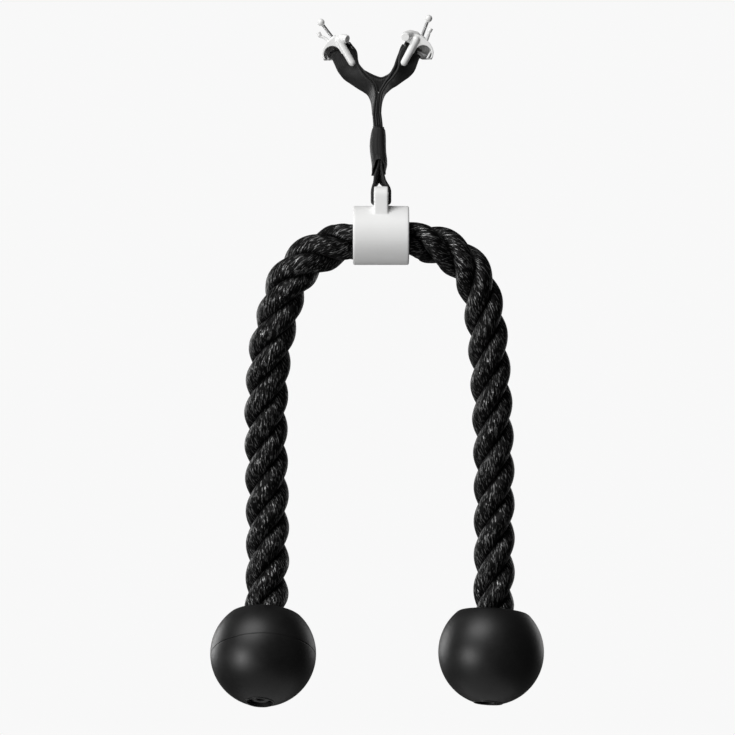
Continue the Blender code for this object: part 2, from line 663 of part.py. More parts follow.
def stop_ball(side, frame, parts):
    """The rubber ball, the rope's end in its socket, and the ferrule and washer in its recess."""
    flat_angle = math.degrees(math.acos(BALL_FLAT / BALL_RADIUS))
    flat_radius = BALL_RADIUS * math.sin(math.radians(flat_angle))
    edge_angle = math.degrees(BALL_EDGE / BALL_RADIUS)
    arcs = 16
    lip_outer = RECESS_RADIUS + LIP_WIDTH
    lip_angle = 180 - math.degrees(math.asin(lip_outer / BALL_RADIUS))
    angles = [flat_angle + edge_angle + (lip_angle - flat_angle - edge_angle) * i / arcs for i in range(arcs + 1)]
    sphere = [(BALL_RADIUS * math.sin(math.radians(a)), BALL_RADIUS * math.cos(math.radians(a))) for a in angles]
    inner, corner, outer = (flat_radius - BALL_EDGE, BALL_FLAT), (flat_radius, BALL_FLAT), sphere[0]
    rim = []
    for i in range(4):
        t = i / 4
        rim.append(tuple(
            (1 - t) ** 2 * a + 2 * t * (1 - t) * b + t ** 2 * c for a, b, c in zip(inner, corner, outer)
        ))
    bottom = sphere[-1][1]
    floor = bottom + RECESS_DEPTH
    socket_floor = BALL_FLAT - SOCKET_DEPTH
    cone = CONE_SHARE * (SOCKET_RADIUS - SEAT_RADIUS)
    profile = [(SOCKET_RADIUS, BALL_FLAT)] + rim + sphere
    profile += [(lip_outer, bottom - LIP_HEIGHT), (RECESS_RADIUS, bottom - LIP_HEIGHT)]
    profile += [(RECESS_RADIUS, floor), (SEAT_RADIUS, floor), (SEAT_RADIUS, socket_floor)]
    profile += [(SOCKET_RADIUS, socket_floor + cone)]
    ball = turned("ball", profile, closed=True, sides=36)
    place(ball, f"{side}_stop_ball", parts, "rubber", frame)

    rope_out, stub = SOCKET_RADIUS - GAP, SEAT_RADIUS - GAP
    ferrule_top = bottom + RECESS_DEPTH + FERRULE_LENGTH
    hole = FERRULE_RADIUS + GAP
    rope_end = turned("end", [
        (0, BALL_FLAT), (rope_out, BALL_FLAT), (rope_out, socket_floor + cone + GAP),
        (stub, socket_floor + GAP), (stub, floor + GAP), (hole, floor + GAP), (hole, ferrule_top + GAP),
        (0, ferrule_top + GAP),
    ])
    place(rope_end, f"{side}_rope_end", parts, "rope", frame)
    washer_top = floor - GAP
    washer = turned("washer", [
        (WASHER_RADIUS, washer_top), (WASHER_RADIUS, washer_top - WASHER_THICK),
        (hole, washer_top - WASHER_THICK), (hole, washer_top),
    ], closed=True)
    place(washer, f"{side}_end_washer", parts, "steel", frame)
    flange_top = washer_top - WASHER_THICK - GAP
    round_off = FLANGE_THICK / 3
    ferrule = turned("ferrule", [
        (FERRULE_RADIUS, ferrule_top), (FERRULE_RADIUS, flange_top), (FLANGE_RADIUS, flange_top),
        (FLANGE_RADIUS, flange_top - FLANGE_THICK + round_off),
        (FLANGE_RADIUS - round_off, flange_top - FLANGE_THICK),
        (FERRULE_BORE + round_off, flange_top - FLANGE_THICK),
        (FERRULE_BORE, flange_top - FLANGE_THICK + round_off), (FERRULE_BORE, ferrule_top),
    ], closed=True)
    place(ferrule, f"{side}_end_ferrule", parts, "black_plastic", frame)


def toggle(side, sign, bar, lean, horn_line, cable_sway, tail_sway, parts, cutters):
    """One moulded toggle, with the bar for the webbing and the cable end that pulls it."""
    frame = bpy.data.objects.new(f"{side}_toggle_axis", None)
    frame.empty_display_size = STEM_LENGTH
    frame.matrix_world = Matrix.Translation(bar) @ Matrix.Rotation(-lean, 4, "Y")
    parts.objects.link(frame)

    def spot(inward, forward, up):
        """A place on the toggle, from the middle of its bar."""
        return Vector((sign * inward, -forward, up))

    def guide(obj, name):
        return place(obj, f"{side}_{name}", cutters, frame=frame)

    stem_forward = LAYER_SPREAD + WEB_THICK / 2 + STEM_GAP + STEM_RADIUS
    hood_front = stem_forward + HOOD_WALL * HOOD_COVER_SHARE

    def hood_outline(shrink, foot):
        """The side view of the hood, drawn in by a wall, down to the height of its foot."""
        points = []
        corners = [Vector((along, rise, 0)) for along, rise in HOOD_OUTLINE_SHARES]
        for (along, rise, _), _ in smooth_line(corners, 2):
            reach = HOOD_OUTER if along < 0 else HOOD_INNER
            points.append((sign * along * (reach - shrink), rise * (HOOD_RISE - shrink)))
        ends = (-sign * (HOOD_OUTER - shrink), sign * (HOOD_INNER - shrink))
        return [(ends[0], foot)] + points + [(ends[1], foot)]

    middle_forward = (hood_front - HOOD_BACK) / 2
    half_depth = (hood_front + HOOD_BACK) / 2
    foot = -HOOD_SKIRT - HOOD_ROUND - OVERRUN
    hood = plate("hood", hood_outline(0, foot), half_depth, (0, -middle_forward, 0))
    bevel(hood, HOOD_ROUND, 4, math.radians(50))
    room_outline = hood_outline(HOOD_WALL, foot - OVERRUN)
    room = plate("room", room_outline, half_depth - HOOD_WALL, (0, -middle_forward, 0))
    boolean(hood, guide(room, "hood_room"))
    rib = box("rib", *sorted_corners(
        spot(RIB_AT, -RIB_HALF_DEPTH, foot), spot(RIB_AT + RIB_THICK, RIB_HALF_DEPTH, RIB_TOP)))
    boolean(hood, guide(rib, "bar_rib"), "UNION")
    end = HOOD_OUTER + OVERRUN
    steep = (WING_FOOT_RISE + HOOD_SKIRT) / (HOOD_OUTER + WING_FOOT_AT)
    tip = -HOOD_SKIRT + steep * (end + WING_FOOT_AT)
    below_outline = [(-sign * end, tip), (sign * WING_FOOT_AT, -HOOD_SKIRT), (sign * end, -HOOD_SKIRT),
                     (sign * end, foot - OVERRUN), (-sign * end, foot - OVERRUN)]
    below = plate("below", below_outline, hood_front + OVERRUN)
    boolean(hood, guide(below, "hood_foot"))
    open_front = box("open_front", *sorted_corners(
        spot(STEM_TIP_RADIUS, RIB_HALF_DEPTH, foot), spot(end, hood_front + OVERRUN, OPEN_FRONT_TOP)))
    boolean(hood, guide(open_front, "hood_open_front"))
    arch_low = -HOOD_SKIRT - OVERRUN
    arch_outline = [(sign * ARCH_CENTRE + x, z) for x, z in arc((0, ARCH_DROP), ARCH_RADIUS, 0, 180, 14)]
    arch_outline += [(sign * ARCH_CENTRE + way * ARCH_RADIUS, arch_low) for way in (-1, 1)]
    arch_depth = HOOD_WALL + OVERRUN
    arch = plate("arch", arch_outline, arch_depth / 2, (0, -hood_front + HOOD_WALL + GAP - arch_depth / 2, 0))
    boolean(hood, guide(arch, "hood_arch"))

    head = HOOD_RISE * STEM_HEAD_SHARE
    profile = [
        (STEM_RADIUS * math.sin(math.radians(a)), head - STEM_RADIUS + STEM_RADIUS * math.cos(math.radians(a)))
        for a in (0, 30, 60, 90)
    ]
    tip = -STEM_LENGTH + STEM_TIP_RADIUS
    profile += [
        (STEM_TIP_RADIUS * math.cos(math.radians(a)), tip - STEM_TIP_RADIUS * math.sin(math.radians(a)))
        for a in (0, 25, 50, 70, 90)
    ]
    profile[0], profile[-1] = (0, profile[0][1]), (0, profile[-1][1])
    stem = turned("stem", profile)
    stem.location = spot(0, stem_forward, 0)
    boolean(hood, guide(stem, "stem"), "UNION")

    horn_spots = [spot(*point[:3]) for point in horn_line]
    horn = tube_curve("horn", horn_spots, 1, [point[3] for point in horn_line], 8)
    horn = bevel(as_mesh(horn, "horn"), HORN_ROUND, 2)
    boolean(hood, guide(horn, "horn"), "UNION")
    crown_foot = spot(CABLE_AT, CABLE_FRONT, HOOD_RISE - HOOD_WALL)
    crown_top = spot(CABLE_AT, CABLE_FRONT, HOOD_RISE + CROWN_LIFT)
    crown = rod("crown", crown_foot, crown_top, CROWN_RADIUS, CROWN_TOP_RADIUS)
    boolean(hood, guide(crown, "crown"), "UNION")

    bar_from, bar_to = RIB_AT + RIB_THICK - BAR_SEAT, HOOD_INNER - HOOD_WALL + BAR_SEAT
    bar_hole = rod("hole", spot(bar_from - GAP, 0, 0), spot(bar_to + GAP, 0, 0), BAR_RADIUS + GAP)
    boolean(hood, guide(bar_hole, "bar_hole"))
    cable_foot = spot(CABLE_AT, CABLE_FRONT, HOOD_RISE + CROWN_LIFT - CABLE_SEAT)
    ball_middle = spot(CABLE_AT + cable_sway, CABLE_FRONT, CABLE_REACH)
    cable_way = (ball_middle - cable_foot).normalized()
    hole_end = cable_foot + cable_way * (CABLE_SEAT + OVERRUN)
    cable_hole = rod("cable_hole", cable_foot - cable_way * GAP, hole_end, CABLE_RADIUS + GAP)
    boolean(hood, guide(cable_hole, "cable_hole"))

    hood_top = HOOD_RISE * share_at([rise for _, rise in HOOD_OUTLINE_SHARES], TAIL_OUTLINE_AT)
    tail_foot = spot(TAIL_AT, CABLE_FRONT, hood_top - TAIL_SEAT)
    tail_top = spot(TAIL_AT + tail_sway, CABLE_FRONT, TAIL_REACH)
    rise = tail_top - tail_foot
    lift = Vector((0, 0, 1))
    tail_line = [tail_foot, tail_foot + lift * (2 * TAIL_SEAT)]
    tail_line += [tail_foot + lift * (rise.z * z) + Vector((rise.x * x, 0, 0)) for x, z in TAIL_BEND_SHARES]
    shoulder = tail_top - lift * (TAIL_HEAD_LENGTH * TAIL_SHOULDER_SHARE)
    tail_line += [tail_top - lift * TAIL_HEAD_LENGTH, shoulder, tail_top]
    swell = TAIL_HEAD_RADIUS / TAIL_RADIUS
    tail_hole = rod("tail_hole", tail_foot - lift * GAP, tail_foot + lift * (TAIL_SEAT + OVERRUN),
                    TAIL_RADIUS + GAP, sides=12)
    boolean(hood, guide(tail_hole, "tail_hole"))
    place(hood, f"{side}_toggle_body", parts, "white_plastic", frame)

    crossbar = rod("crossbar", spot(bar_from, 0, 0), spot(bar_to, 0, 0), BAR_RADIUS)
    place(crossbar, f"{side}_crossbar", parts, "steel", frame)
    cable_end = ball_middle - cable_way * (CABLE_BALL_RADIUS + GAP)
    cable = rod("cable", cable_foot, cable_end, CABLE_RADIUS, sides=12)
    place(cable, f"{side}_cable", parts, "steel", frame)
    shape = bmesh.new()
    bmesh.ops.create_uvsphere(shape, u_segments=16, v_segments=10, radius=CABLE_BALL_RADIUS)
    ball = from_bmesh(shape, "ball")
    ball.location = ball_middle
    place(ball, f"{side}_cable_ball", parts, "white_plastic", frame)
    tail = tube_curve("tail", tail_line, TAIL_RADIUS, [1, 1, 1, 1, 1, swell, swell], resolution=3)
    place(tail, f"{side}_cable_tail", parts, "white_plastic", frame)


def main():
    for obj in list(bpy.data.objects):
        bpy.data.objects.remove(obj, do_unlink=True)
    parts = bpy.data.collections.new(COLLECTION)
    cutters = bpy.data.collections.new(COLLECTION + "_cutters")
    for collection in (parts, cutters):
        bpy.context.scene.collection.children.link(collection)
    tether(parts, cutters)
    collar(parts, cutters)
    rope_side("left", 1, LEFT_ROPE_PX, LEFT_BALL, LEFT_BALL_TILT, LEFT_BALL_LEAN, parts)
    rope_side("right", -1, RIGHT_ROPE_PX, RIGHT_BALL, RIGHT_BALL_TILT, RIGHT_BALL_LEAN, parts)
    toggle("left", 1, LEFT_BAR, LEFT_LEAN, LEFT_HORN, LEFT_CABLE_SWAY, LEFT_TAIL_SWAY,
           parts, cutters)
    toggle("right", -1, RIGHT_BAR, RIGHT_LEAN, RIGHT_HORN, RIGHT_CABLE_SWAY, RIGHT_TAIL_SWAY,
           parts, cutters)


main()
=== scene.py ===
# %% [markdown]
# # A triceps rope, dressed for its photograph
#
# The packed model holds every piece at its true size. This script gives the rigid ones a finer
# skin and models the soft ones anew: the laid rope, the webbing and the sleeve on it. All lengths
# are in metres, +Z is up, the front faces -Y, and the origin is at the fork of the tether.

# %% Load the frame
import json
import math
from contextlib import contextmanager

import bmesh
import bpy
import numpy as np
from mathutils import Matrix, Vector

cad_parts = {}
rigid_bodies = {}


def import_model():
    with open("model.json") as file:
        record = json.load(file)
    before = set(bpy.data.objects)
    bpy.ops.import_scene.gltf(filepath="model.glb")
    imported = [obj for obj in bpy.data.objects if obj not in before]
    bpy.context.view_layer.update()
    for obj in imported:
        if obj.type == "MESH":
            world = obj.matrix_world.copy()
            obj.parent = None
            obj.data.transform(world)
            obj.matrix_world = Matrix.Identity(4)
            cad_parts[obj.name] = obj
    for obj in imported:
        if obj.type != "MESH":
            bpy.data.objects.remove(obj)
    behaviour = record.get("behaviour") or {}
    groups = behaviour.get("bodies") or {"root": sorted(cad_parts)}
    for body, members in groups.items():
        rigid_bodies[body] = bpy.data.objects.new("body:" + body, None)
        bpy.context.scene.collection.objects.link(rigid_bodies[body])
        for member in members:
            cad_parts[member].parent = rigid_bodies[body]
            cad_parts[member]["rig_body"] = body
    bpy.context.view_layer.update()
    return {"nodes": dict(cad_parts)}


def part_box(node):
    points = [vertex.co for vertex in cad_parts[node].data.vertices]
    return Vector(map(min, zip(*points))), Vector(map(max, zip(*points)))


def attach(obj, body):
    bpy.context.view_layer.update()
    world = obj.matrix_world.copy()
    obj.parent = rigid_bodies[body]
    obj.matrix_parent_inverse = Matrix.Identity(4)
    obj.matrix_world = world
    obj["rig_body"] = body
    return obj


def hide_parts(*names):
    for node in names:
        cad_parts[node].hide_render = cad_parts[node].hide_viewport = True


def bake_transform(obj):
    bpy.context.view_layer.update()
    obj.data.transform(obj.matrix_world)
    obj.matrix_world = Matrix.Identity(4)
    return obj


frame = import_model()
print("solids in the frame:", len(frame["nodes"]))

# %% [markdown]
# ## The camera and the studio
#
# The picture was taken from straight in front with a long lens, so one pixel is the same length
# all over the object. Naming that length once gives the camera its place, and later the routes of
# the rope and of the webbing, which are read from the picture.

# %% The picture's scale
PIXEL = 0.000715
PICTURE_SIDE = 735
FORK_PIXEL = (381, 77)


def from_picture(x, y, depth=0.0):
    """The point of the object that the picture shows at a pixel."""
    return Vector(((x - FORK_PIXEL[0]) * PIXEL, depth, (FORK_PIXEL[1] - y) * PIXEL))


picture_middle = from_picture(PICTURE_SIDE / 2, PICTURE_SIDE / 2)
print("middle of the picture:", [round(c, 4) for c in picture_middle])

# %% The camera
CAMERA_DISTANCE = 2.6
SENSOR = 0.036
VIEW_END = 20

camera_data = bpy.data.cameras.new("camera")
camera_data.sensor_width = SENSOR * 1000
camera_data.lens = 1000 * SENSOR * CAMERA_DISTANCE / (PICTURE_SIDE * PIXEL)
camera_data.clip_end = VIEW_END
camera = bpy.data.objects.new("camera", camera_data)
camera.location = picture_middle + Vector((0, -CAMERA_DISTANCE, 0))
camera.rotation_euler = (math.pi / 2, 0, 0)
bpy.context.collection.objects.link(camera)
bpy.context.scene.camera = camera
print("lens:", round(camera_data.lens, 1), "mm")

# %% [markdown]
# A black object needs broad, soft lights: it shows what it reflects. One softbox stands in front,
# high on the left, and one on the left side, as the two soft streaks on each ball say. Two boxes
# behind draw the thin bright rims, and a weak one lifts the undersides. The ground of the picture
# is almost white, so the world looks pale to the camera and shines with less strength on the
# object.

# %% Lights
WORLD_SEEN = 0.94
WORLD_LIGHT = 0.07
SOFTBOXES = {               # place, height of the point it faces, side length, watts
    "front_left_box": ((-1.0, -1.2, 1.7), -0.20, 1.6, 58),
    "left_box": ((-1.32, -1.22, -0.57), -0.35, 0.55, 19),
    "right_rim_box": ((1.1, 1.5, -0.2), -0.25, 0.8, 3.5),
    "left_rim_box": ((-1.3, 1.2, -0.2), -0.25, 0.8, 10),
    "low_box": ((-0.1, -0.9, -1.7), -0.20, 1.2, 1.2),
}

for name, (place, faced_height, side_length, watts) in SOFTBOXES.items():
    light = bpy.data.lights.new(name, "AREA")
    light.shape = "SQUARE"
    light.size = side_length
    light.energy = watts
    lamp = bpy.data.objects.new(name, light)
    lamp.location = place
    gaze = Vector((0, 0, faced_height)) - Vector(place)
    lamp.rotation_euler = gaze.to_track_quat("-Z", "Y").to_euler()
    bpy.context.collection.objects.link(lamp)

world = bpy.data.worlds.new("pale_studio")
world.use_nodes = True
bpy.context.scene.world = world
tree = world.node_tree
tree.nodes.clear()
ray = tree.nodes.new("ShaderNodeLightPath")
choose = tree.nodes.new("ShaderNodeMixShader")
world_out = tree.nodes.new("ShaderNodeOutputWorld")
tree.links.new(ray.outputs["Is Camera Ray"], choose.inputs["Fac"])
for socket, grey in zip(choose.inputs[1:], (WORLD_LIGHT, WORLD_SEEN)):
    background = tree.nodes.new("ShaderNodeBackground")
    background.inputs["Color"].default_value = (grey, grey, grey, 1)
    tree.links.new(background.outputs["Background"], socket)
tree.links.new(choose.outputs["Shader"], world_out.inputs["Surface"])
bpy.context.scene.view_settings.view_transform = "Standard"

# %% [markdown]
# ## Helpers for materials
#
# Every finish is a Principled shader with a few nodes in front of it. These helpers keep the
# recipes short enough to read: one adds a node with its inputs, one joins sockets, and each of the
# others adds one common kind of node.

# %% Material helpers
class Finish:
    """A material under construction: its tree, its shader, and short ways to add nodes."""

    def __init__(self, name, roughness, metallic=0.0, **sockets):
        self.material = bpy.data.materials.new(name)
        self.material.use_nodes = True
        self.nodes = self.material.node_tree.nodes
        self.shader = self.nodes["Principled BSDF"]
        self.shader.inputs["Roughness"].default_value = roughness
        self.shader.inputs["Metallic"].default_value = metallic
        for socket, value in sockets.items():
            self.shader.inputs[socket.replace("_", " ")].default_value = value

    def add(self, kind, **inputs):
        """A new node; an input is a value or another node's output."""
        node = self.nodes.new("ShaderNode" + kind)
        for socket, value in inputs.items():
            self.set(node.inputs[socket.replace("_", " ")], value)
        return node

    def set(self, socket, value):
        """Joins a socket to another node's output, or gives it a value."""
        if isinstance(value, bpy.types.NodeSocket):
            self.material.node_tree.links.new(value, socket)
        else:
            socket.default_value = value

    def maths(self, operation, first, second=0.0):
        """One operation on two numbers."""
        node = self.nodes.new("ShaderNodeMath")
        node.operation = operation
        self.set(node.inputs[0], first)
        self.set(node.inputs[1], second)
        return node.outputs[0]

    def times(self, first, second):
        return self.maths("MULTIPLY", first, second)

    def total(self, first, second):
        return self.maths("ADD", first, second)

    def shifted(self, vector, shift):
        """Coordinates moved along X by another node's value."""
        node = self.nodes.new("ShaderNodeVectorMath")
        self.set(node.inputs[0], vector)
        self.set(node.inputs[1], self.add("CombineXYZ", X=shift).outputs["Vector"])
        return node.outputs["Vector"]

    def mix(self, share, first, second):
        """A colour between two others."""
        node = self.nodes.new("ShaderNodeMix")
        node.data_type = "RGBA"
        for socket, value in zip((node.inputs["Factor"], *node.inputs[6:8]), (share, first, second)):
            self.set(socket, value)
        return node.outputs[2]

    def stretch(self, vector, scale):
        """Coordinates stretched along the axes."""
        return self.add("Mapping", Vector=vector, Scale=scale).outputs["Vector"]

    def noise(self, vector, scale, detail, roughness=0.5):
        """Noise from 0 to 1, with its scale in lumps for each metre."""
        node = self.add("TexNoise", Vector=vector, Scale=scale, Detail=detail, Roughness=roughness)
        return node.outputs["Fac"]

    def ramp(self, value, *stops):
        """A colour ramp through stops of (position, grey or colour)."""
        node = self.add("ValToRGB", Fac=value)
        marks = node.color_ramp.elements
        while len(marks) < len(stops):
            marks.new(0.5)
        for mark, (position, colour) in zip(marks, stops):
            mark.position = position
            rgb = colour if isinstance(colour, tuple) else (colour,) * 3
            mark.color = (*rgb, 1)
        return node.outputs["Color"]

    def bump(self, height, strength, distance, normal=None):
        """A normal that leans as a height says, with the distance in metres."""
        node = self.add("Bump", Height=height, Strength=strength, Distance=distance)
        if normal is not None:
            self.set(node.inputs["Normal"], normal)
        return node.outputs["Normal"]

    def attribute(self, name, output):
        """A value or a vector that is stored with the mesh."""
        node = self.nodes.new("ShaderNodeAttribute")
        node.attribute_name = name
        return node.outputs[output]

    def position(self):
        return self.nodes.new("ShaderNodeTexCoord").outputs["Object"]

    def uv(self):
        return self.nodes.new("ShaderNodeTexCoord").outputs["UV"]

    def done(self, colour=None, roughness=None, normal=None):
        """Joins colour, roughness and normal to the shader, and gives the material."""
        for socket, value in (("Base Color", colour), ("Roughness", roughness), ("Normal", normal)):
            if value is not None:
                self.set(self.shader.inputs[socket], value)
        return self.material


def dress(material, *pieces):
    """Gives pieces this one material."""
    for piece in pieces:
        piece.data.materials.clear()
        piece.data.materials.append(material)
    print(material.name, "on", [piece.name for piece in pieces])


print("helpers of a finish:", [name for name in vars(Finish) if not name.startswith("_")])

# %% [markdown]
# ## The rope
#
# A laid rope is three fat strands twisted round each other. Each strand is pressed flat against
# its neighbours, so a cut through the rope shows three overlapping circles. The script bends one
# such outline along the rope's route and turns it once in every lay length, right-handed, so the
# strands climb from lower left to upper right in front. The yarns on a strand twist the other way
# and end up almost parallel with the rope, which is why small grooves run along it.

# %% The route of each side in the picture
ROPE_PX = {
    "left": (
        (353, 240), (346, 241.5), (339, 244.3), (323, 250), (311, 257), (300.5, 266), (291, 278),
        (284.5, 292), (280.5, 306), (277, 320), (273, 335), (270, 350), (268, 370), (266.5, 390),
        (265.5, 410), (265.5, 440), (265.8, 470), (266.5, 500), (266.8, 530), (267, 560), (266.6, 590),
        (265.7, 617),
    ),
    "right": (
        (409, 240), (417, 240.4), (425, 241.5), (438, 246), (450, 251.5), (461, 259.5), (470, 270),
        (477, 283), (481.5, 297), (484.5, 312), (487, 330), (489, 350), (490.5, 370), (492, 395),
        (493.3, 420), (494.3, 450), (494.9, 480), (495, 510), (495, 540), (494.9, 575), (493.8, 613.2),
    ),
}
print("points on each route:", {side: len(route_px) for side, route_px in ROPE_PX.items()})

# %% [markdown]
# The picture gives the route across and downwards. Each end is set to where the solids have it, at
# the collar's face and in the top of the ball, and the rope bows backwards to meet a tilted ball
# squarely.

# %% The route in space
SIDES = {"left": -1, "right": 1}        # the sign of X on each side
COLLAR_FACE = 0.020
BORE_HEIGHT = -0.1167
BALL_FLAT = 0.0285          # height of a ball's flat top above its middle
BALLS = {                   # middle, tilt backwards, lean sideways
    "left": ((-0.0841, -0.0046, -0.4120), math.radians(24), math.radians(3.4)),
    "right": ((0.0787, -0.0006, -0.4112), math.radians(12.4), math.radians(3.8)),
}


def ball_axes(side):
    """The frame of a ball: its middle, with Z along the rope's end."""
    spot, tilt, lean = BALLS[side]
    return Matrix.Translation(spot) @ Matrix.Rotation(lean, 4, "Y") @ Matrix.Rotation(-tilt, 4, "X")


def eased(share):
    """A share from 0 to 1 that starts and ends gently."""
    return share * share * (3 - 2 * share)


def rope_points(side):
    """The middle of one side's rope, as the solid model has it, bowed backwards to a tilted ball."""
    start = Vector((SIDES[side] * COLLAR_FACE, 0, BORE_HEIGHT))
    end = ball_axes(side) @ Vector((0, 0, BALL_FLAT))
    (x0, y0), (x1, y1) = ROPE_PX[side][0], ROPE_PX[side][-1]
    drop = start.z - end.z
    points = []
    for x, y in ROPE_PX[side]:
        across = start.x + (end.x - start.x) * (x - x0) / (x1 - x0)
        share = (y - y0) / (y1 - y0)
        bow = -math.tan(BALLS[side][1]) * drop * (share ** 3 - share ** 2)
        points.append(Vector((across, bow + end.y * eased(share), start.z - drop * share)))
    return points


def smooth_line(points, steps=12):
    """A smooth curve through points, where the neighbours of each pull on the bend."""
    line = []
    for i in range(len(points) - 1):
        p1, p2 = points[i], points[i + 1]
        p0 = points[i - 1] if i else 2 * p1 - p2
        p3 = points[i + 2] if i + 2 < len(points) else 2 * p2 - p1
        for k in range(steps):
            t = k / steps
            line.append(0.5 * (
                2 * p1 + (p2 - p0) * t + (2 * p0 - 5 * p1 + 4 * p2 - p3) * t ** 2
                + (3 * p1 - p0 - 3 * p2 + p3) * t ** 3
            ))
    return line + [points[-1].copy()]


def evenly(line, spacing):
    """The same curve with its points at an even spacing, as an array."""
    spots = np.array([tuple(p) for p in line])
    along = np.concatenate(([0], np.cumsum(np.linalg.norm(np.diff(spots, axis=0), axis=1))))
    wanted = np.linspace(0, along[-1], max(2, round(along[-1] / spacing) + 1))
    return np.stack([np.interp(wanted, along, spots[:, i]) for i in range(3)], axis=1), wanted


ROUTES = {side: rope_points(side) for side in SIDES}
for side, route in ROUTES.items():
    print(side, "rope:", round(float(evenly(smooth_line(route), 0.001)[1][-1]), 4), "m")

# %% [markdown]
# The outline's radius is worked out for each angle: it's the far side of the strand there, with
# the valley between two strands made a little deeper.

# %% The laid outline
STRAND_RADIUS = 0.0090
STRAND_OFFSET = 0.0066      # middle of a strand from the middle of the rope
VALLEY_DEPTH = 0.0009
VALLEY_WIDTH = 0.13         # as an angle


def laid_radius(angle):
    """Radius of the three-strand outline, with a crown at angle zero, and how near a valley is."""
    third = 2 * math.pi / 3
    off_crown = (angle + third / 2) % third - third / 2
    crown = STRAND_OFFSET * np.cos(off_crown)
    crown = crown + np.sqrt(STRAND_RADIUS ** 2 - (STRAND_OFFSET * np.sin(off_crown)) ** 2)
    valley = np.exp(-((third / 2 - np.abs(off_crown)) / VALLEY_WIDTH) ** 2)
    return crown - VALLEY_DEPTH * valley, valley


print("widest strand crown:", round(float(laid_radius(np.zeros(1))[0][0]), 4), "m from the middle")

# %% [markdown]
# Like most soft pieces here, the rope is rings of points, one after the other along a line. These
# helpers make a mesh of points and faces, join its rings, and store values with its points for a
# material to read.

# %% Meshes from rings of points


def mesh_piece(name, points, faces):
    """A smooth object at the origin from a list of points and faces."""
    mesh = bpy.data.meshes.new(name)
    mesh.from_pydata([tuple(p) for p in points], [], faces)
    mesh.update()
    mesh.shade_smooth()
    obj = bpy.data.objects.new(name, mesh)
    bpy.context.collection.objects.link(obj)
    print(name, "faces", len(faces))
    return obj


def ring_faces(rings, sides, looped=False):
    """The faces between rings of points; looped joins the last ring to the first one."""
    faces = []
    for ring in range(rings if looped else rings - 1):
        near, far = ring * sides, (ring + 1) % rings * sides
        for i in range(sides):
            j = (i + 1) % sides
            faces.append((near + i, near + j, far + j, far + i))
    return faces


def note(obj, name, values):
    """Stores a number or a vector with each point of a mesh."""
    values = np.asarray(values, np.float32)
    kind, field = ("FLOAT_VECTOR", "vector") if values.ndim == 2 else ("FLOAT", "value")
    obj.data.attributes.new(name, kind, "POINT").data.foreach_set(field, values.ravel())


def unit(vectors):
    """The same vectors, each of length one."""
    return vectors / np.linalg.norm(vectors, axis=1)[:, None]


print("faces of two rings of four points:", ring_faces(2, 4))

# %% [markdown]
# Every ring is the outline, turned a little further than the last. Grooves for the yarns are cut
# into it on the way, and each point notes its place on the straight rope, its strand and how near
# a valley it lies.

# %% A laid rope along a line
ROUND_POINTS = 180
RING_STEP = 0.0007
YARN_PITCH = 0.0019
YARN_DEPTH = 0.00032
YARN_LEVEL = 0.6            # share of a groove's depth that lies under the outline
YARN_SHIFT = 1.3            # angle between the yarns of neighbouring strands
WANDER = 0.9                # how far a yarn snakes, as an angle
WANDER_RATE = 210           # and how fast, in radians for each metre
WANDER_SHIFT = 2.1          # angle between the snaking of neighbouring strands
CROWN_RADIUS = STRAND_RADIUS + STRAND_OFFSET


def laid_rope(name, line, along, turn, size):
    """A rope of three strands along a line, with the strands' angle and scale for each ring."""
    around = np.arange(ROUND_POINTS) * 2 * math.pi / ROUND_POINTS
    radius, valley = laid_radius(around)
    strand = np.floor((around + math.pi / 3) / (2 * math.pi / 3)) % 3
    tangent = unit(np.gradient(line, axis=0))
    back = unit(np.array([0.0, 1.0, 0.0]) - tangent * tangent[:, 1:2])
    out = np.cross(back, tangent)
    angle = turn[:, None] + around
    yarn = angle * CROWN_RADIUS / YARN_PITCH * math.pi + strand * YARN_SHIFT
    yarn = yarn + WANDER * np.sin(along[:, None] * WANDER_RATE + strand * WANDER_SHIFT)
    groove = YARN_DEPTH * (np.abs(np.sin(yarn)) - YARN_LEVEL) * (1 - valley)
    reach = ((radius + groove) * size[:, None])[..., None]
    cos, sin = np.cos(angle)[..., None], np.sin(angle)[..., None]
    points = line[:, None, :] + reach * (cos * out[:, None, :] + sin * back[:, None, :])
    points = np.concatenate([points.reshape(-1, 3), line[:1], line[-1:]])
    rings = len(line)
    faces, middle = ring_faces(rings, ROUND_POINTS), rings * ROUND_POINTS
    for i in range(ROUND_POINTS):
        j = (i + 1) % ROUND_POINTS
        faces.append((middle, j, i))
        faces.append((middle + 1, middle - ROUND_POINTS + i, middle - ROUND_POINTS + j))
    obj = mesh_piece(name, points, faces)
    straight = np.concatenate([
        CROWN_RADIUS * cos, CROWN_RADIUS * sin, np.broadcast_to(along[:, None, None], cos.shape),
    ], axis=-1).reshape(-1, 3)
    note(obj, "straight", np.concatenate([straight, [[0, 0, along[0]], [0, 0, along[-1]]]]))
    note(obj, "lane", np.concatenate([np.tile(strand, rings), [0, 0]]))
    note(obj, "valley", np.concatenate([np.tile(valley, rings), [1, 1]]))
    return obj


print("grooves in a strand:", round(2 * math.pi * STRAND_RADIUS / YARN_PITCH))

# %% [markdown]
# The rope is squeezed in the collar's bore and swells over the first two centimetres outside it.
# The lay is found from the picture: along one edge of a leg the valleys follow each other a third
# of a lay apart, so one valley's height and that distance set every strand.

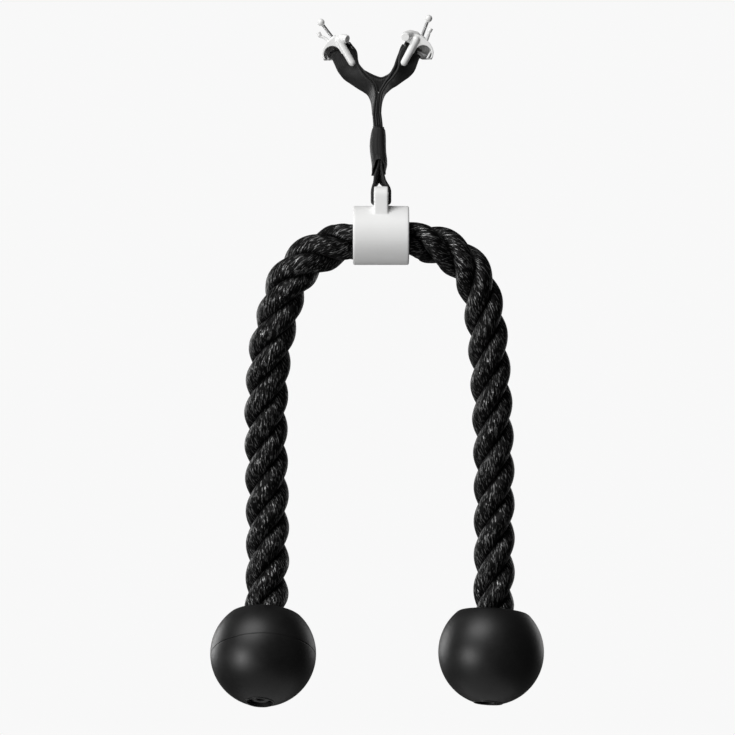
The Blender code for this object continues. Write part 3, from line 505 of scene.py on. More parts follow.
# %% The two free ropes
START_INSET = 0.0015        # the rope starts this far inside the collar's face
NECK_SHARE = 0.87           # the rope's size inside the collar
NECK_LENGTH = 0.020
SOCKET_REACH = 0.012        # how far the rope is modelled into its ball
SOCKET_SHARE = 0.975        # the rope's size in the ball, reached over SOCKET_EASE
SOCKET_EASE = 0.006
LEG_TOP = -0.2              # below this height a rope hangs almost straight
ROPES = {                   # height of one valley on the left edge, lay length, size of the strands
    "left": {"valley_px": 463, "lay": 0.0716, "size": 1.0},
    "right": {"valley_px": 470, "lay": 0.0735, "size": 0.945},
}


def free_rope(side):
    """One side's rope, from the collar's mouth into its ball, and the turn of its first ring."""
    facts = ROPES[side]
    inwards = Vector((-SIDES[side] * START_INSET, 0, 0))
    into_ball = ball_axes(side).to_3x3() @ Vector((0, 0, -SOCKET_REACH))
    route = ROUTES[side]
    line, along = evenly([route[0] + inwards] + smooth_line(route) + [route[-1] + into_ball], RING_STEP)
    valley_height = from_picture(0, facts["valley_px"]).z
    leg = line[:, 2] < LEG_TOP
    valley_at = float(np.interp(-valley_height, -line[leg, 2], along[leg]))
    turn = math.pi / 3 + 2 * math.pi * (along - valley_at) / facts["lay"]
    size = facts["size"] * (NECK_SHARE + (1 - NECK_SHARE) * eased(np.clip(along / NECK_LENGTH, 0, 1)))
    outside = np.clip((along[-1] - SOCKET_REACH - along) / SOCKET_EASE, 0, 1)
    size *= SOCKET_SHARE + (1 - SOCKET_SHARE) * outside
    rope = laid_rope(f"{side}_rope", line, along, turn, size)
    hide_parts(f"{side}_rope_bend", f"{side}_rope_leg", f"{side}_rope_end")
    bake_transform(rope)
    return rope, turn[0]


ropes, first_turns = zip(*(free_rope(side) for side in SIDES))

# %% [markdown]
# The same rope runs through the collar. It is modelled once more there as a short straight
# stretch, so that whoever looks into a mouth of the bore sees strands and no plain plug. It takes
# up the twist of one side and hands it to the other.

# %% The rope inside the collar
CORE_RINGS = 60
CORE_SIZE = 0.86

core_line = np.linspace((-COLLAR_FACE, 0, BORE_HEIGHT), (COLLAR_FACE, 0, BORE_HEIGHT), CORE_RINGS)
core_along = np.linspace(0, 2 * COLLAR_FACE, CORE_RINGS)
core_turn = first_turns[1] - 2 * math.pi * (core_along[-1] - core_along) / ROPES["right"]["lay"]
inner_rope = laid_rope("inner_rope", core_line, core_along, core_turn, np.full(CORE_RINGS, CORE_SIZE))
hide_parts("rope_core")
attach(inner_rope, "collar")
print(inner_rope.name, "turns", round((core_turn[-1] - core_turn[0]) / (2 * math.pi), 2))

# %% [markdown]
# Black rope yarn is glossy: every filament throws a short glint along its own length. The finish
# reads the "straight" attribute, which is each point's place on the rope as if it hung straight,
# so filaments follow the bend and never swim. Long thin noise makes filaments and broader noise
# makes the yarns differ. The glints are taken out of the valleys between strands, so those stay
# dull and dark: painted shade.

# %% Rope finish
GLINT_COLOUR = (0.17, 0.17, 0.17, 1)
LANE_SHIFT = 0.31           # moves the pattern from strand to strand


def rope_finish():
    finish = Finish("rope_yarn", roughness=0.42, Specular_IOR_Level=0.09)
    straight = finish.attribute("straight", "Vector")
    place = finish.shifted(straight, finish.times(finish.attribute("lane", "Fac"), LANE_SHIFT))
    yarn = finish.noise(finish.stretch(place, (1, 1, 0.22)), 800, 2.0, 0.55)
    filament = finish.noise(finish.stretch(place, (1, 1, 0.30)), 1500, 2.0, 0.6)
    fleck = finish.noise(finish.stretch(place, (1, 1, 0.20)), 1200, 1.5, 0.6)
    patch = finish.noise(place, 70, 2.0)
    # Near a valley the flecks fade away, which makes the creases between strands darker: painted shade.
    crown = finish.maths("SUBTRACT", 1.0, finish.attribute("valley", "Fac"))
    glint_with_painted_valley_shade = finish.times(finish.ramp(fleck, (0.55, 0.0), (0.65, 1.0)), crown)
    tone = finish.ramp(patch, (0.3, 0.0010), (0.7, 0.0025))
    finish.set(finish.shader.inputs["Metallic"], glint_with_painted_valley_shade)
    rough = finish.ramp(filament, (0.40, 0.28), (0.60, 0.52))
    coarse = finish.bump(yarn, 1.0, 0.0008)
    fine = finish.bump(filament, 0.9, 0.0002, coarse)
    return finish.done(finish.mix(glint_with_painted_valley_shade, tone, GLINT_COLOUR), rough, fine)


dress(rope_finish(), *ropes, inner_rope)

# %% [markdown]
# ## The webbing of the tether
#
# Each loop is one flat band of woven nylon. It comes up the strap edge on, turns a quarter, opens
# round the toggle's bar and goes back down behind itself. Both edges of a band can be read from
# the picture, and as its real width is known, how wide it looks there says how far it has turned.
# The band is swept through those stations, and every point keeps its place across and along it in
# a UV map, in metres, so that the weave can follow the turn.

# %% Sizes of the webbing
WEB_WIDTH = 0.015
WEB_THICK = 0.0016
STRAP_THICK = 0.00172       # pressed together at the strap, the plies close every gap
BAR_CLEARANCE = 0.0026      # the two layers lie this far from the middle of the bar
BAR_STEPS = 18
PLY_PITCH = 0.00168
PAIR_EDGE = 0.0035          # how wide two plies look edge on
EASE = 12                   # stations over which a change of turn is spread
CLOSED_SHARE = 0.75         # share of the seen edges after which the plies lie together
STATION_STEP = 0.0012       # between stations below the seen edges
KEEPER_TOP = 0.0350         # how far below the fork the keeper starts
KEEPER_SHIFT = -0.0021      # and how far its middle lies off the fork's
LOOP_END = 0.0575           # how far below the fork the loops end, inside the keeper
BULGE_PLACE = 0.0052        # the back layer bulges beside the stem, this far below the bar
BULGE_WIDTH = 0.0065
BANDS = {                   # edges_px: x, y of the outer and x, y of the inner edge, downwards
    "left": {
        "lean": math.radians(30), "depth": 0.0, "bulge": 0.0025, "edges_px": (
            (331, 57.2, 350.8, 45.8), (334.2, 64.4, 353.9, 53.3), (338, 72, 357.1, 61.3),
            (344.2, 78.2, 360.8, 67.9), (351.5, 82.8, 364.5, 72.5), (359.4, 87.9, 368.5, 77),
            (364.6, 91.4, 372.5, 80.5), (367.8, 94.4, 375.6, 84.5), (369.9, 98.2, 377.5, 91.3),
            (371.3, 102.3, 377.9, 98.5), (372.1, 107.5, 377.3, 106), (372.5, 113.5, 377, 113.5),
        ),
    },
    "right": {
        "lean": math.radians(28.1), "depth": 0.0006, "bulge": 0.0, "edges_px": (
            (420.3, 53.9, 403.6, 45), (418.6, 58.7, 400.6, 49), (416.3, 65.4, 398, 55.6),
            (412.5, 71.3, 396.5, 62.8), (408.2, 75.5, 395, 67.7), (404, 78.6, 392.8, 71.6),
            (400, 81.6, 390.6, 75), (396, 84.8, 388.2, 78.4), (392, 87.4, 385.4, 81.4),
            (388, 90.6, 382.6, 86.2), (384.9, 94.4, 379.4, 91.4), (382.7, 99.5, 378.2, 97.2),
            (381.3, 106, 377.5, 105.2), (380.8, 113.5, 377.1, 113.5),
        ),
    },
}
print("stations in the picture:", {side: len(facts["edges_px"]) for side, facts in BANDS.items()})

# %% [markdown]
# A band's cut is a thin slab with round edges, which are woven a little fuller. The helper below
# lays one cut in each station and joins them. Its UV map says where each corner lies on the cloth.

# %% A woven band swept through stations
EDGE_ROUND = 5
BAND_COLUMNS = 22
FACE_HALF = 0.48            # half a band's thickness between middle and edge, as a share of it
EDGE_SWELL = 0.05           # how much fuller the edges are
SWELL_REACH = 2.2           # and over how many thicknesses


def band_section(thick):
    """The cut of a band as points of (across, out)."""
    flat = WEB_WIDTH - thick
    outline = []
    for face in (1, -1):
        for i in range(BAND_COLUMNS + 1):
            across = face * (0.5 - i / BAND_COLUMNS) * flat
            share = min(1.0, (WEB_WIDTH / 2 - abs(across)) / (SWELL_REACH * thick))
            fuller = EDGE_SWELL * math.cos(math.pi * share)
            outline.append((across, face * thick * (FACE_HALF + fuller)))
        for k in range(1, EDGE_ROUND):
            angle = math.pi * k / EDGE_ROUND
            across = -face * (flat / 2 + thick / 2 * math.sin(angle))
            outline.append((across, face * thick / 2 * math.cos(angle)))
    return outline


def end_faces(rings, sides):
    """One face over the first ring and one over the last."""
    return [tuple(range(sides))[::-1], tuple(range((rings - 1) * sides, rings * sides))]


@contextmanager
def edited(obj):
    """An object's mesh, opened for bmesh and written back at the end."""
    shape = bmesh.new()
    shape.from_mesh(obj.data)
    yield shape
    shape.to_mesh(obj.data)
    shape.free()


def weave_map(obj, place):
    """Turns the faces outwards and writes down each corner's place on the cloth, in metres."""
    with edited(obj) as shape:
        bmesh.ops.recalc_face_normals(shape, faces=shape.faces)
        layer = shape.loops.layers.uv.new("weave")
        for face in shape.faces:
            for corner in face.loops:
                corner[layer].uv = place(corner.vert.index)


def band(name, stations):
    """A band through stations of (middle, width direction, thickness direction, thickness)."""
    sections = [band_section(thick) for *_, thick in stations]
    count = len(sections[0])
    points = [
        middle + across * x + out * y
        for (middle, across, out, _), section in zip(stations, sections) for x, y in section
    ]
    rings = len(stations)
    obj = mesh_piece(name, points, ring_faces(rings, count) + end_faces(rings, count))
    along = [0.0]
    for (before, *_), (after, *_) in zip(stations, stations[1:]):
        along.append(along[-1] + (after - before).length)
    weave_map(obj, lambda i: (sections[i // count][i % count][0], along[i // count]))
    print(name, "cut length", round(along[-1], 3), "m")
    return obj


print("points round a band:", len(band_section(WEB_THICK)))

# %% [markdown]
# Where a band looks as wide as it is, it lies flat on the picture, and where it looks as narrow as
# its two plies, it stands edge on. In between, the cosine of its turn is the share of its width
# that shows.

# %% How far a band has turned
FRONT = Vector((0, -1, 0))
EDGE_STEPS = 14             # between two stations of the picture


def edge_line(side, which):
    """One edge of a band as a fine smooth line in the picture's plane; 0 is the outer, 1 the inner."""
    edges = BANDS[side]["edges_px"]
    return smooth_line([from_picture(*pair[2 * which:2 * which + 2]) for pair in edges], EDGE_STEPS)


def band_turns(outer, inner):
    """How far a band has turned edge on, from how wide it looks, with its changes spread evenly."""
    seen = np.array([min((b - a).length, WEB_WIDTH) for a, b in zip(outer, inner)])
    turns = np.arccos(np.clip((seen - PAIR_EDGE * (1 - seen / WEB_WIDTH)) / WEB_WIDTH, 0, 1))
    longer = np.concatenate((np.full(EASE, turns[0]), turns, np.full(EASE, turns[-1])))
    return np.convolve(longer, np.full(2 * EASE + 1, 1 / (2 * EASE + 1)), mode="valid")


for side in SIDES:
    turns = band_turns(edge_line(side, 0), edge_line(side, 1))
    print(side, "band turns from", round(math.degrees(turns[0])), "to", round(math.degrees(turns[-1])))

# %% [markdown]
# From the bar the front layer runs down to the strap, and the back layer lies behind it. They are
# as far apart as the bar needs at first and close to one thick ply below. A half turn over the bar
# joins them.

# %% The two loops


def webbing_loop(side):
    """One loop of the tether, from inside the keeper round the bar and back."""
    facts = BANDS[side]
    inward_sign, lean = -SIDES[side], facts["lean"]
    outer, inner = edge_line(side, 0), edge_line(side, 1)
    down = Vector((inward_sign * math.sin(lean), 0, -math.cos(lean)))
    stations = []
    for i, (a, b, turn) in enumerate(zip(outer, inner, band_turns(outer, inner))):
        sideways = (b - a).normalized()
        closed = eased(min(1.0, i / (CLOSED_SHARE * len(outer))))
        spread = BAR_CLEARANCE * (1 - closed) + PLY_PITCH / 2 * closed
        thick = WEB_THICK * (1 - closed) + STRAP_THICK * closed
        middle = (a + b) / 2 + Vector((0, facts["depth"] * closed, 0))
        fan = max(1.0, (b - a).length / WEB_WIDTH)      # flattened over the bar, it spreads a little
        across = (sideways * math.cos(turn) + FRONT * math.sin(turn)) * fan
        out = FRONT * math.cos(turn) - sideways * math.sin(turn)
        stations.append((middle, across, out, spread, thick))
    top, strap_end = stations[0][0], stations[-1][0]
    keeper_x = KEEPER_SHIFT - inward_sign * PLY_PITCH
    for drop in np.arange(-strap_end.z + STATION_STEP, LOOP_END, STATION_STEP):
        share = min(1.0, (drop + strap_end.z) / (KEEPER_TOP + strap_end.z))
        x = strap_end.x + (keeper_x - strap_end.x) * share
        place = Vector((x, facts["depth"], -drop))
        stations.append((place, FRONT, Vector((-inward_sign, 0, 0)), PLY_PITCH / 2, STRAP_THICK))

    def bulge(middle):
        """How far the back layer swings inwards here, beside the stem."""
        reach = (middle - top).dot(down)
        return facts["bulge"] * math.exp(-((reach - BULGE_PLACE) / BULGE_WIDTH) ** 2)

    front_layer, back_layer, over_bar = [], [], []
    for middle, across, out, spread, thick in stations:
        front_layer.append((middle + out * spread, across, out, thick))
        back_layer.append((middle - out * spread + across * bulge(middle), across, -out, thick))
    inward = stations[0][1]
    for angle in np.linspace(0, math.pi, BAR_STEPS)[1:-1]:
        radial = FRONT * math.cos(angle) - down * math.sin(angle)
        swing = bulge(top) * (1 - math.cos(angle)) / 2
        over_bar.append((top + radial * BAR_CLEARANCE + inward * swing, inward, radial, WEB_THICK))
    loop = band(f"webbing_{side}", front_layer[::-1] + over_bar + back_layer)
    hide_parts(f"webbing_{side}_loop")
    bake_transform(loop)
    return loop


loops = [webbing_loop(side) for side in SIDES]

# %% [markdown]
# The lap is a short tongue of the same webbing, sewn behind the fork so that the two bands can't
# be pulled apart. From the front it fills the notch between them with black, and its rolled hem
# draws the edge of the notch. The tongue is a flat outline, filled and given a wall. The hem is a
# bent tube.

# %% The lap behind the fork
LAP_TOP_PX = (
    (360, 68.6), (365, 71.4), (370, 74), (375, 76.3), (381, 78), (386, 76.4), (390, 74), (393, 70.8),
    (396.5, 68.4),
)
LAP_LOW_PX = ((393, 76), (388, 83), (383, 89), (379.6, 91.4), (377.8, 91.4), (374, 88), (368, 81))
LAP_DEPTH = 0.0044          # how far behind the fork it lies
HEM_RADIUS = 0.0010
HEM_SIDES = 14
HEM_STEPS = 6


def tube(name, line, radius, sides, turn=None, outline=None):
    """A closed tube along a line; an angle for each point and an outline make it a twisted one."""
    spots = np.array([tuple(p) for p in line])
    tangent = unit(np.gradient(spots, axis=0))
    side_way = unit(np.cross(tangent, [0.0, 1.0, 0.0]))
    back = np.cross(side_way, tangent)
    around = np.arange(sides) * 2 * math.pi / sides
    profile = np.ones(sides) if outline is None else outline(around)
    points = []
    for k, spot in enumerate(spots):
        for angle, reach in zip(around + (0 if turn is None else turn[k]), radius * profile):
            points.append(spot + reach * (math.cos(angle) * side_way[k] + math.sin(angle) * back[k]))
    obj = mesh_piece(name, points, ring_faces(len(spots), sides) + end_faces(len(spots), sides))
    with edited(obj) as shape:
        bmesh.ops.recalc_face_normals(shape, faces=shape.faces)
    return obj


def alone(obj):
    """Selects this object and nothing else, and makes it the active one."""
    bpy.ops.object.select_all(action="DESELECT")
    obj.select_set(True)
    bpy.context.view_layer.objects.active = obj
    return obj


def fork_lap():
    """The tongue with its hem."""
    outline = [from_picture(x, y, LAP_DEPTH) for x, y in LAP_TOP_PX + LAP_LOW_PX]
    tongue = mesh_piece("fork_tongue", outline, [tuple(range(len(outline)))])
    with edited(tongue) as shape:
        bmesh.ops.triangulate(shape, faces=shape.faces)
        bmesh.ops.subdivide_edges(shape, edges=shape.edges, cuts=2, use_grid_fill=True)
        if sum(face.normal.y for face in shape.faces) < 0:
            bmesh.ops.reverse_faces(shape, faces=shape.faces)
    wall = tongue.modifiers.new("wall", "SOLIDIFY")
    wall.thickness = WEB_THICK
    alone(tongue)
    bpy.ops.object.modifier_apply(modifier="wall")
    hem_points = [from_picture(x, y, LAP_DEPTH - WEB_THICK / 2) for x, y in LAP_TOP_PX]
    hem_line = smooth_line(hem_points, HEM_STEPS)
    tube("fork_hem", hem_line, HEM_RADIUS, HEM_SIDES).select_set(True)
    bpy.ops.object.join()
    places = [(v.co.x, v.co.z) for v in tongue.data.vertices]
    weave_map(tongue, lambda i: places[i])
    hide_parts("fork_lap")
    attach(tongue, "tether")
    return tongue


tongue = fork_lap()
print(tongue.name, "with its hem, faces", len(tongue.data.polygons))

# %% [markdown]
# ## The keeper
#
# A sleeve is pulled over the plies where the tether's loops and the lug's loop overlap. It is soft
# and follows what it holds, so both its sides are read from the picture. Its lower hem rises to an
# arch in front, where the plies come out. Two skins are swept over the same net, an outer and an
# inner, and joined along both hems.

# %% Sizes of the sleeve
KEEPER_LEFT_PX = (
    (373.6, 126.4), (372, 129.5), (370.9, 134), (370, 140), (369.6, 146), (370, 152),
    (371, 160), (371.9, 166), (371.7, 170), (372.1, 175.4),
)
KEEPER_RIGHT_PX = (
    (383.4, 127.6), (385.3, 130.6), (385.8, 135), (386, 140), (386, 146), (386.2, 152),
    (387.2, 160), (387.3, 165), (386.3, 169.5), (385, 174.2),
)
KEEPER_DEPTH = 0.0190
KEEPER_WALL = 0.0011
KEEPER_HEIGHT = 0.034
KEEPER_GIRTH = 0.055
KEEPER_SQUARENESS = 0.62    # 1 is an ellipse, 0 a box
KEEPER_ROWS = 56
KEEPER_COLUMNS = 96
ARCH_SHARE = 0.335          # share of the sleeve's height that the arch takes away in front
ARCH_SLOPE = 1.6            # powers that shape the arch from front to back and from side to side
ARCH_SPAN = 2.2
HEM_FLARE = 0.0006
TOP_HEM = 0.05              # shares of the height over which the two hems flare
LOW_HEM = 0.07
HEM_ROLL = 0.004            # share of the height by which a hem stands over its edge
print("the sleeve is", KEEPER_HEIGHT, "m tall and", KEEPER_DEPTH, "m deep")

# %% The sleeve


def keeper_point(angle, share, inset):
    """A point of the sleeve: angle 0 faces the viewer, share runs from the upper to the lower hem."""
    side, depth = math.sin(angle), math.cos(angle)
    arch = max(0.0, depth) ** ARCH_SLOPE * max(0.0, 1 - abs(side) ** ARCH_SPAN)
    row = share * (1 - ARCH_SHARE * arch) * (len(KEEPER_LEFT_PX) - 1)
    left, right = (
        Vector([float(np.interp(row, range(len(edge)), [p[k] for p in edge])) for k in (0, 1)])
        for edge in (KEEPER_LEFT_PX, KEEPER_RIGHT_PX)
    )
    x_share = math.copysign(abs(side) ** KEEPER_SQUARENESS, side)
    y_share = math.copysign(abs(depth) ** KEEPER_SQUARENESS, depth)
    spot = (left + right) / 2 + (right - left) / 2 * x_share
    below, above = (share - (1 - LOW_HEM)) / LOW_HEM, (TOP_HEM - share) / TOP_HEM
    grown = HEM_FLARE * (max(0.0, below) + max(0.0, above)) - inset
    point = from_picture(spot.x, spot.y)
    point.x += grown * x_share
    point.y = -(KEEPER_DEPTH / 2 + grown) * y_share
    return point


def keeper_sleeve():
    """The outer and the inner skin, closed along both hems."""
    outer = [(k / KEEPER_ROWS, 0.0) for k in range(KEEPER_ROWS + 1)]
    inner = [(share, KEEPER_WALL) for share, _ in outer[::-1]]
    rows = outer + [(1 + HEM_ROLL, KEEPER_WALL / 2)] + inner + [(-HEM_ROLL, KEEPER_WALL / 2)]
    points = [
        keeper_point(2 * math.pi * i / KEEPER_COLUMNS, share, inset)
        for share, inset in rows for i in range(KEEPER_COLUMNS)
    ]
    sleeve = mesh_piece("keeper", points, ring_faces(len(rows), KEEPER_COLUMNS, looped=True))
    weave_map(sleeve, lambda i: (
        KEEPER_GIRTH * abs((i % KEEPER_COLUMNS) / KEEPER_COLUMNS - 0.5),
        KEEPER_HEIGHT * rows[i // KEEPER_COLUMNS][0],
    ))
    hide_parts("keeper_sleeve")
    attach(sleeve, "strap")
    return sleeve


keeper = keeper_sleeve()

# %% [markdown]
# ## The lug's loop
#
# A thicker strap comes out of the keeper, parts over the collar's lug, goes down both of its sides
# and through the eye under it. The edges that face the viewer part higher up than those behind, so
# the strands stand at a slant and fill the space between them with shadow.

# %% Sizes of the lug's loop
LUG_WEB_THICK = 0.0021
LUG_SIDE = 0.00625          # middle of a strand beside the lug
EYE_HEIGHT = -0.0903        # middle of the strap in the eye
EYE_TURN = 0.0016
EYE_STEPS = 8
STRAND_STEPS = 10
LUG_STRANDS = {             # front edge in the picture, and the strand's slant in degrees
    "left": (
        (379.3, 150, 0), (379.3, 158, 1), (378.9, 163, 3), (377.6, 168, 5), (376, 172.5, 7),
        (374.9, 176.5, 9), (374.6, 180, 10), (374.1, 183.5, 9), (373.1, 187, 4), (372.4, 191, 0),
        (372.26, 196, 0),
    ),
    "right": (
        (381.7, 150, 0), (381.7, 158, 1), (381.7, 163, 4), (382, 168, 8), (382.8, 172.5, 11),
        (383.8, 176.5, 14), (385, 180.5, 16), (386.8, 184, 14), (388.6, 187.4, 6), (389.6, 191, 0),
        (389.74, 196, 0),
    ),
}
print("the strap in the eye is", 2 * LUG_SIDE, "m wide from strand to strand")

# %% The strap through the eye


def strand(side):
    """Stations of one strand, from the keeper down to the eye."""
    sign = SIDES[side]
    line = smooth_line([Vector((x, y, slant)) for x, y, slant in LUG_STRANDS[side]], STRAND_STEPS)
    stations = []
    for i, (x, y, slant) in enumerate(line):
        slant = math.radians(slant)
        across = FRONT * math.cos(slant) + Vector((sign * math.sin(slant), 0, 0))
        before, after = line[max(i - 1, 0)], line[min(i + 1, len(line) - 1)]
        run = Vector((after.x - before.x, 0, before.y - after.y)).normalized()
        out = across.cross(run) * sign
        middle = from_picture(x, y) + (FRONT - across) * (WEB_WIDTH / 2)
        stations.append((middle, across, out.normalized(), LUG_WEB_THICK))
    return stations


def lug_loop():
    """Down the left side, through the eye and up the right side."""
    left, right = strand("left"), strand("right")
    eye = []
    for sign in SIDES.values():
        turn = []
        for angle in np.linspace(0, math.pi / 2, EYE_STEPS):
            out = Vector((sign * math.cos(angle), 0, -math.sin(angle)))
            corner = Vector((sign * (LUG_SIDE - EYE_TURN), 0, EYE_HEIGHT + EYE_TURN))
            turn.append((corner + out * EYE_TURN, FRONT, out, LUG_WEB_THICK))
        eye += turn if sign < 0 else turn[::-1]
    loop = band("lug_strap", left + eye + right[::-1])
    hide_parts("lug_loop")
    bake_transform(loop)
    return loop


lug_strap = lug_loop()

# %% [markdown]
# ## The stop balls
#
# Each leg ends in a ball of black rubber, which stops the hands. A sphere is added, cut flat on
# top, where the rope goes in, and its underside is opened to the shallow recess of the washer. The
# open rims are rolled in by extruding them. The cuts are made square to the ball's own axis, and
# the finished mesh is then moved to its tilted place. The two halves of the mould leave a faint
# seam round the middle. It is too fine for the mesh, so each point stores how far it lies from the
# seam, and the rubber's finish draws it.

# %% A cut sphere with rolled rims
RIM_REACH = 1e-5            # a point this near to a cut's height lies on its rim
SMOOTH_BELOW = math.radians(40)


def cut_sphere(name, radius, segments, rings, cuts, threshold):
    """A sphere cut at heights, each with the way to the part that goes; it stays in edit mode."""
    bpy.ops.object.select_all(action="DESELECT")
    bpy.ops.mesh.primitive_uv_sphere_add(segments=segments, ring_count=rings, radius=radius)
    ball = bpy.context.object
    ball.name = name
    bpy.ops.object.mode_set(mode="EDIT")
    for height, way in cuts:
        bpy.ops.mesh.select_all(action="SELECT")
        bpy.ops.mesh.bisect(
            plane_co=(0, 0, height), plane_no=(0, 0, way), clear_outer=True, threshold=threshold)
    return ball


def roll_rim(obj, height, steps):
    """Extrudes the open rim at a height through steps of (radius, height)."""
    mesh = bmesh.from_edit_mesh(obj.data)
    mesh.select_mode = {"EDGE"}
    for element in (*mesh.verts, *mesh.edges, *mesh.faces):
        element.select = False
    for edge in mesh.edges:
        edge.select = all(abs(v.co.z - height) < RIM_REACH for v in edge.verts)
    mesh.select_flush_mode()
    bmesh.update_edit_mesh(obj.data)
    radius = max(math.hypot(v.co.x, v.co.y) for v in mesh.verts if v.select)
    for next_radius, next_height in steps:
        rise = (0, 0, next_height - height)
        bpy.ops.mesh.extrude_region_move(TRANSFORM_OT_translate={"value": rise})
        scale = next_radius / radius
        bpy.ops.transform.resize(value=(scale, scale, 1), center_override=(0, 0, 0))
        radius, height = next_radius, next_height


def close_ball(ball, axes):
    """Leaves edit mode, fills the last open rims, and moves the ball to its axes."""
    bpy.ops.object.mode_set(mode="OBJECT")
    with edited(ball) as shape:
        bmesh.ops.holes_fill(shape, edges=[e for e in shape.edges if e.is_boundary], sides=0)
        bmesh.ops.recalc_face_normals(shape, faces=shape.faces)
        shape.transform(axes)
    alone(ball)
    bpy.ops.object.shade_smooth_by_angle(angle=SMOOTH_BELOW)
    print(ball.name, "faces", len(ball.data.polygons))
    return ball


# %% [markdown]
# A ball's cut has corners: the rim of its flat, the mouth of the socket, the lip round the recess,
# and the recess's floor. A few extruded steps round each corner leave it rounded, as the mould
# does.

# %% The two stop balls
BALL_RADIUS = 0.0378
BALL_EDGE = 0.0022
BALL_MESH = (160, 96)       # segments and rings
SOCKET_RADIUS = 0.0157
SOCKET_LOW = -0.0145
RECESS_RADIUS = 0.00915
RECESS_DEPTH = 0.0045
LIP_WIDTH = 0.0014
LIP_HEIGHT = 0.0006
FERRULE_HOLE = 0.0050       # the recess's floor reaches in to here, under the ferrule's flange
CUT_THRESHOLD = 1e-4        # Blender's usual one

# Steps round each corner of the cut, as offsets of (radius, height) from it
TOP_ROLL = ((-0.0001, -0.0003), (-0.0009, -0.00006), (-0.0020, 0))
SOCKET_ROLL = ((0.0012, 0), (0.0004, -0.0003), (0, -0.0014))
LIP_OUTSIDE = ((-0.0001, -0.7 * LIP_HEIGHT), (-0.0005, -LIP_HEIGHT))
LIP_INSIDE = ((0.0004, -LIP_HEIGHT), (0, -0.6 * LIP_HEIGHT))
FLOOR_CORNER = ((0, -0.0003), (-0.0003, 0))
HOLE_STEPS = ((0, 0), (-0.0004, 0.004))
SEAM_TILTS = {"left": 31, "right": 86}      # how far each mould seam leans back, in degrees
SEAM_SHIFT = -0.0026                        # the seam lies this far from the ball's middle


def corner_steps(*corners):
    """Steps of (radius, height) from corners of (radius, height, offsets)."""
    return [
        (radius + outwards, height + up)
        for radius, height, offsets in corners for outwards, up in offsets
    ]


def stop_ball(side):
    """One ball, with a flat top, a socket for the rope and a recess with a lip."""
    top, lip_outer = BALL_FLAT - BALL_EDGE / 2, RECESS_RADIUS + LIP_WIDTH
    bottom = -math.sqrt(BALL_RADIUS ** 2 - lip_outer ** 2)
    flat_radius = math.sqrt(BALL_RADIUS ** 2 - BALL_FLAT ** 2)
    cuts = ((top, 1), (bottom, -1))
    ball = cut_sphere(f"{side}_ball", BALL_RADIUS, *BALL_MESH, cuts, CUT_THRESHOLD)
    into_socket = corner_steps(
        (flat_radius, BALL_FLAT, TOP_ROLL), (SOCKET_RADIUS, BALL_FLAT, SOCKET_ROLL))
    roll_rim(ball, top, into_socket + [(SOCKET_RADIUS, SOCKET_LOW)])
    floor = bottom + RECESS_DEPTH
    roll_rim(ball, bottom, corner_steps(
        (lip_outer, bottom, LIP_OUTSIDE), (RECESS_RADIUS, bottom, LIP_INSIDE),
        (RECESS_RADIUS, floor, FLOOR_CORNER), (FERRULE_HOLE, floor, HOLE_STEPS),
    ))
    close_ball(ball, ball_axes(side))
    tilt, middle = math.radians(SEAM_TILTS[side]), ball_axes(side).translation
    normal = Vector((0, math.sin(tilt), math.cos(tilt)))
    note(ball, "seam", [(v.co - middle).dot(normal) - SEAM_SHIFT for v in ball.data.vertices])
    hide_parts(f"{side}_stop_ball")
    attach(ball, f"rope_{side}")
    return ball


stop_balls = [stop_ball(side) for side in SIDES]

# %% [markdown]
# ## The cables of the toggles
#
# A short stub of steel cable stands in each toggle and ends in a small ball. The solid model has a
# plain rod there. Its two ends give the cable its place, and a six-lobed outline, twisted as it is
# swept, gives it its strands.

# %% The stranded cables
CABLE_LAY = 0.0085
CABLE_SIDES = 36
CABLE_RINGS = 90
CABLE_SWELL = 1.06          # the strands' crowns stand a little over the plain rod
CABLE_VALLEY = 0.80         # radius of a valley between two strands, as a share of a crown's


def rod_ends(node):
    """The two end points and the radius of a straight round solid, from its mesh."""
    spots = np.array([tuple(v.co) for v in frame["nodes"][node].data.vertices])
    middle = spots.mean(axis=0)
    axis = np.linalg.svd(spots - middle)[2][0]
    axis *= np.sign(axis[2])
    along = (spots - middle) @ axis
    radius = np.linalg.norm(spots - middle - along[:, None] * axis, axis=1).max()
    return middle + axis * along.min(), middle + axis * along.max(), float(radius)


def cable_outline(angle):
    """Six strands side by side, as shares of the cable's radius."""
    return CABLE_VALLEY + (1 - CABLE_VALLEY) * np.abs(np.cos(3 * angle)) ** 0.8


def steel_cable(side):
    """The stub of one toggle, with its strands."""
    low, high, radius = rod_ends(f"{side}_cable")
    line = [Vector(low + (high - low) * k / (CABLE_RINGS - 1)) for k in range(CABLE_RINGS)]
    length = float(np.linalg.norm(high - low))
    turn = np.linspace(0, 2 * math.pi * length / CABLE_LAY, CABLE_RINGS)
    name = f"{side}_steel_cable"
    cable = tube(name, line, radius * CABLE_SWELL, CABLE_SIDES, turn, cable_outline)
    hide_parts(f"{side}_cable")
    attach(cable, f"toggle_{side}")
    print(cable.name, "length", round(length, 4), "faces", len(cable.data.polygons))
    return cable


cables = [steel_cable(side) for side in SIDES]

# %% [markdown]
# ## Moulded and turned pieces
#
# The solids of the collar and the toggles have the right shape, but they are made of flat facets
# with hard edges, and a mould leaves neither. A copy of each is merged to one skin, remeshed into
# small even squares, and relaxed a little, which melts the facets together and leaves every edge
# with the small radius of a moulded part. Turned pieces only need their copy merged and shaded
# smooth by angle.

# %% Copies of solids that get a finer skin
MERGE_REACH = 1e-6
SHADE_BELOW = math.radians(35)
COLLAR_SKIN = (0.00042, 14)         # side of a square, rounds of relaxing
TOGGLE_SKIN = (0.00021, 16)


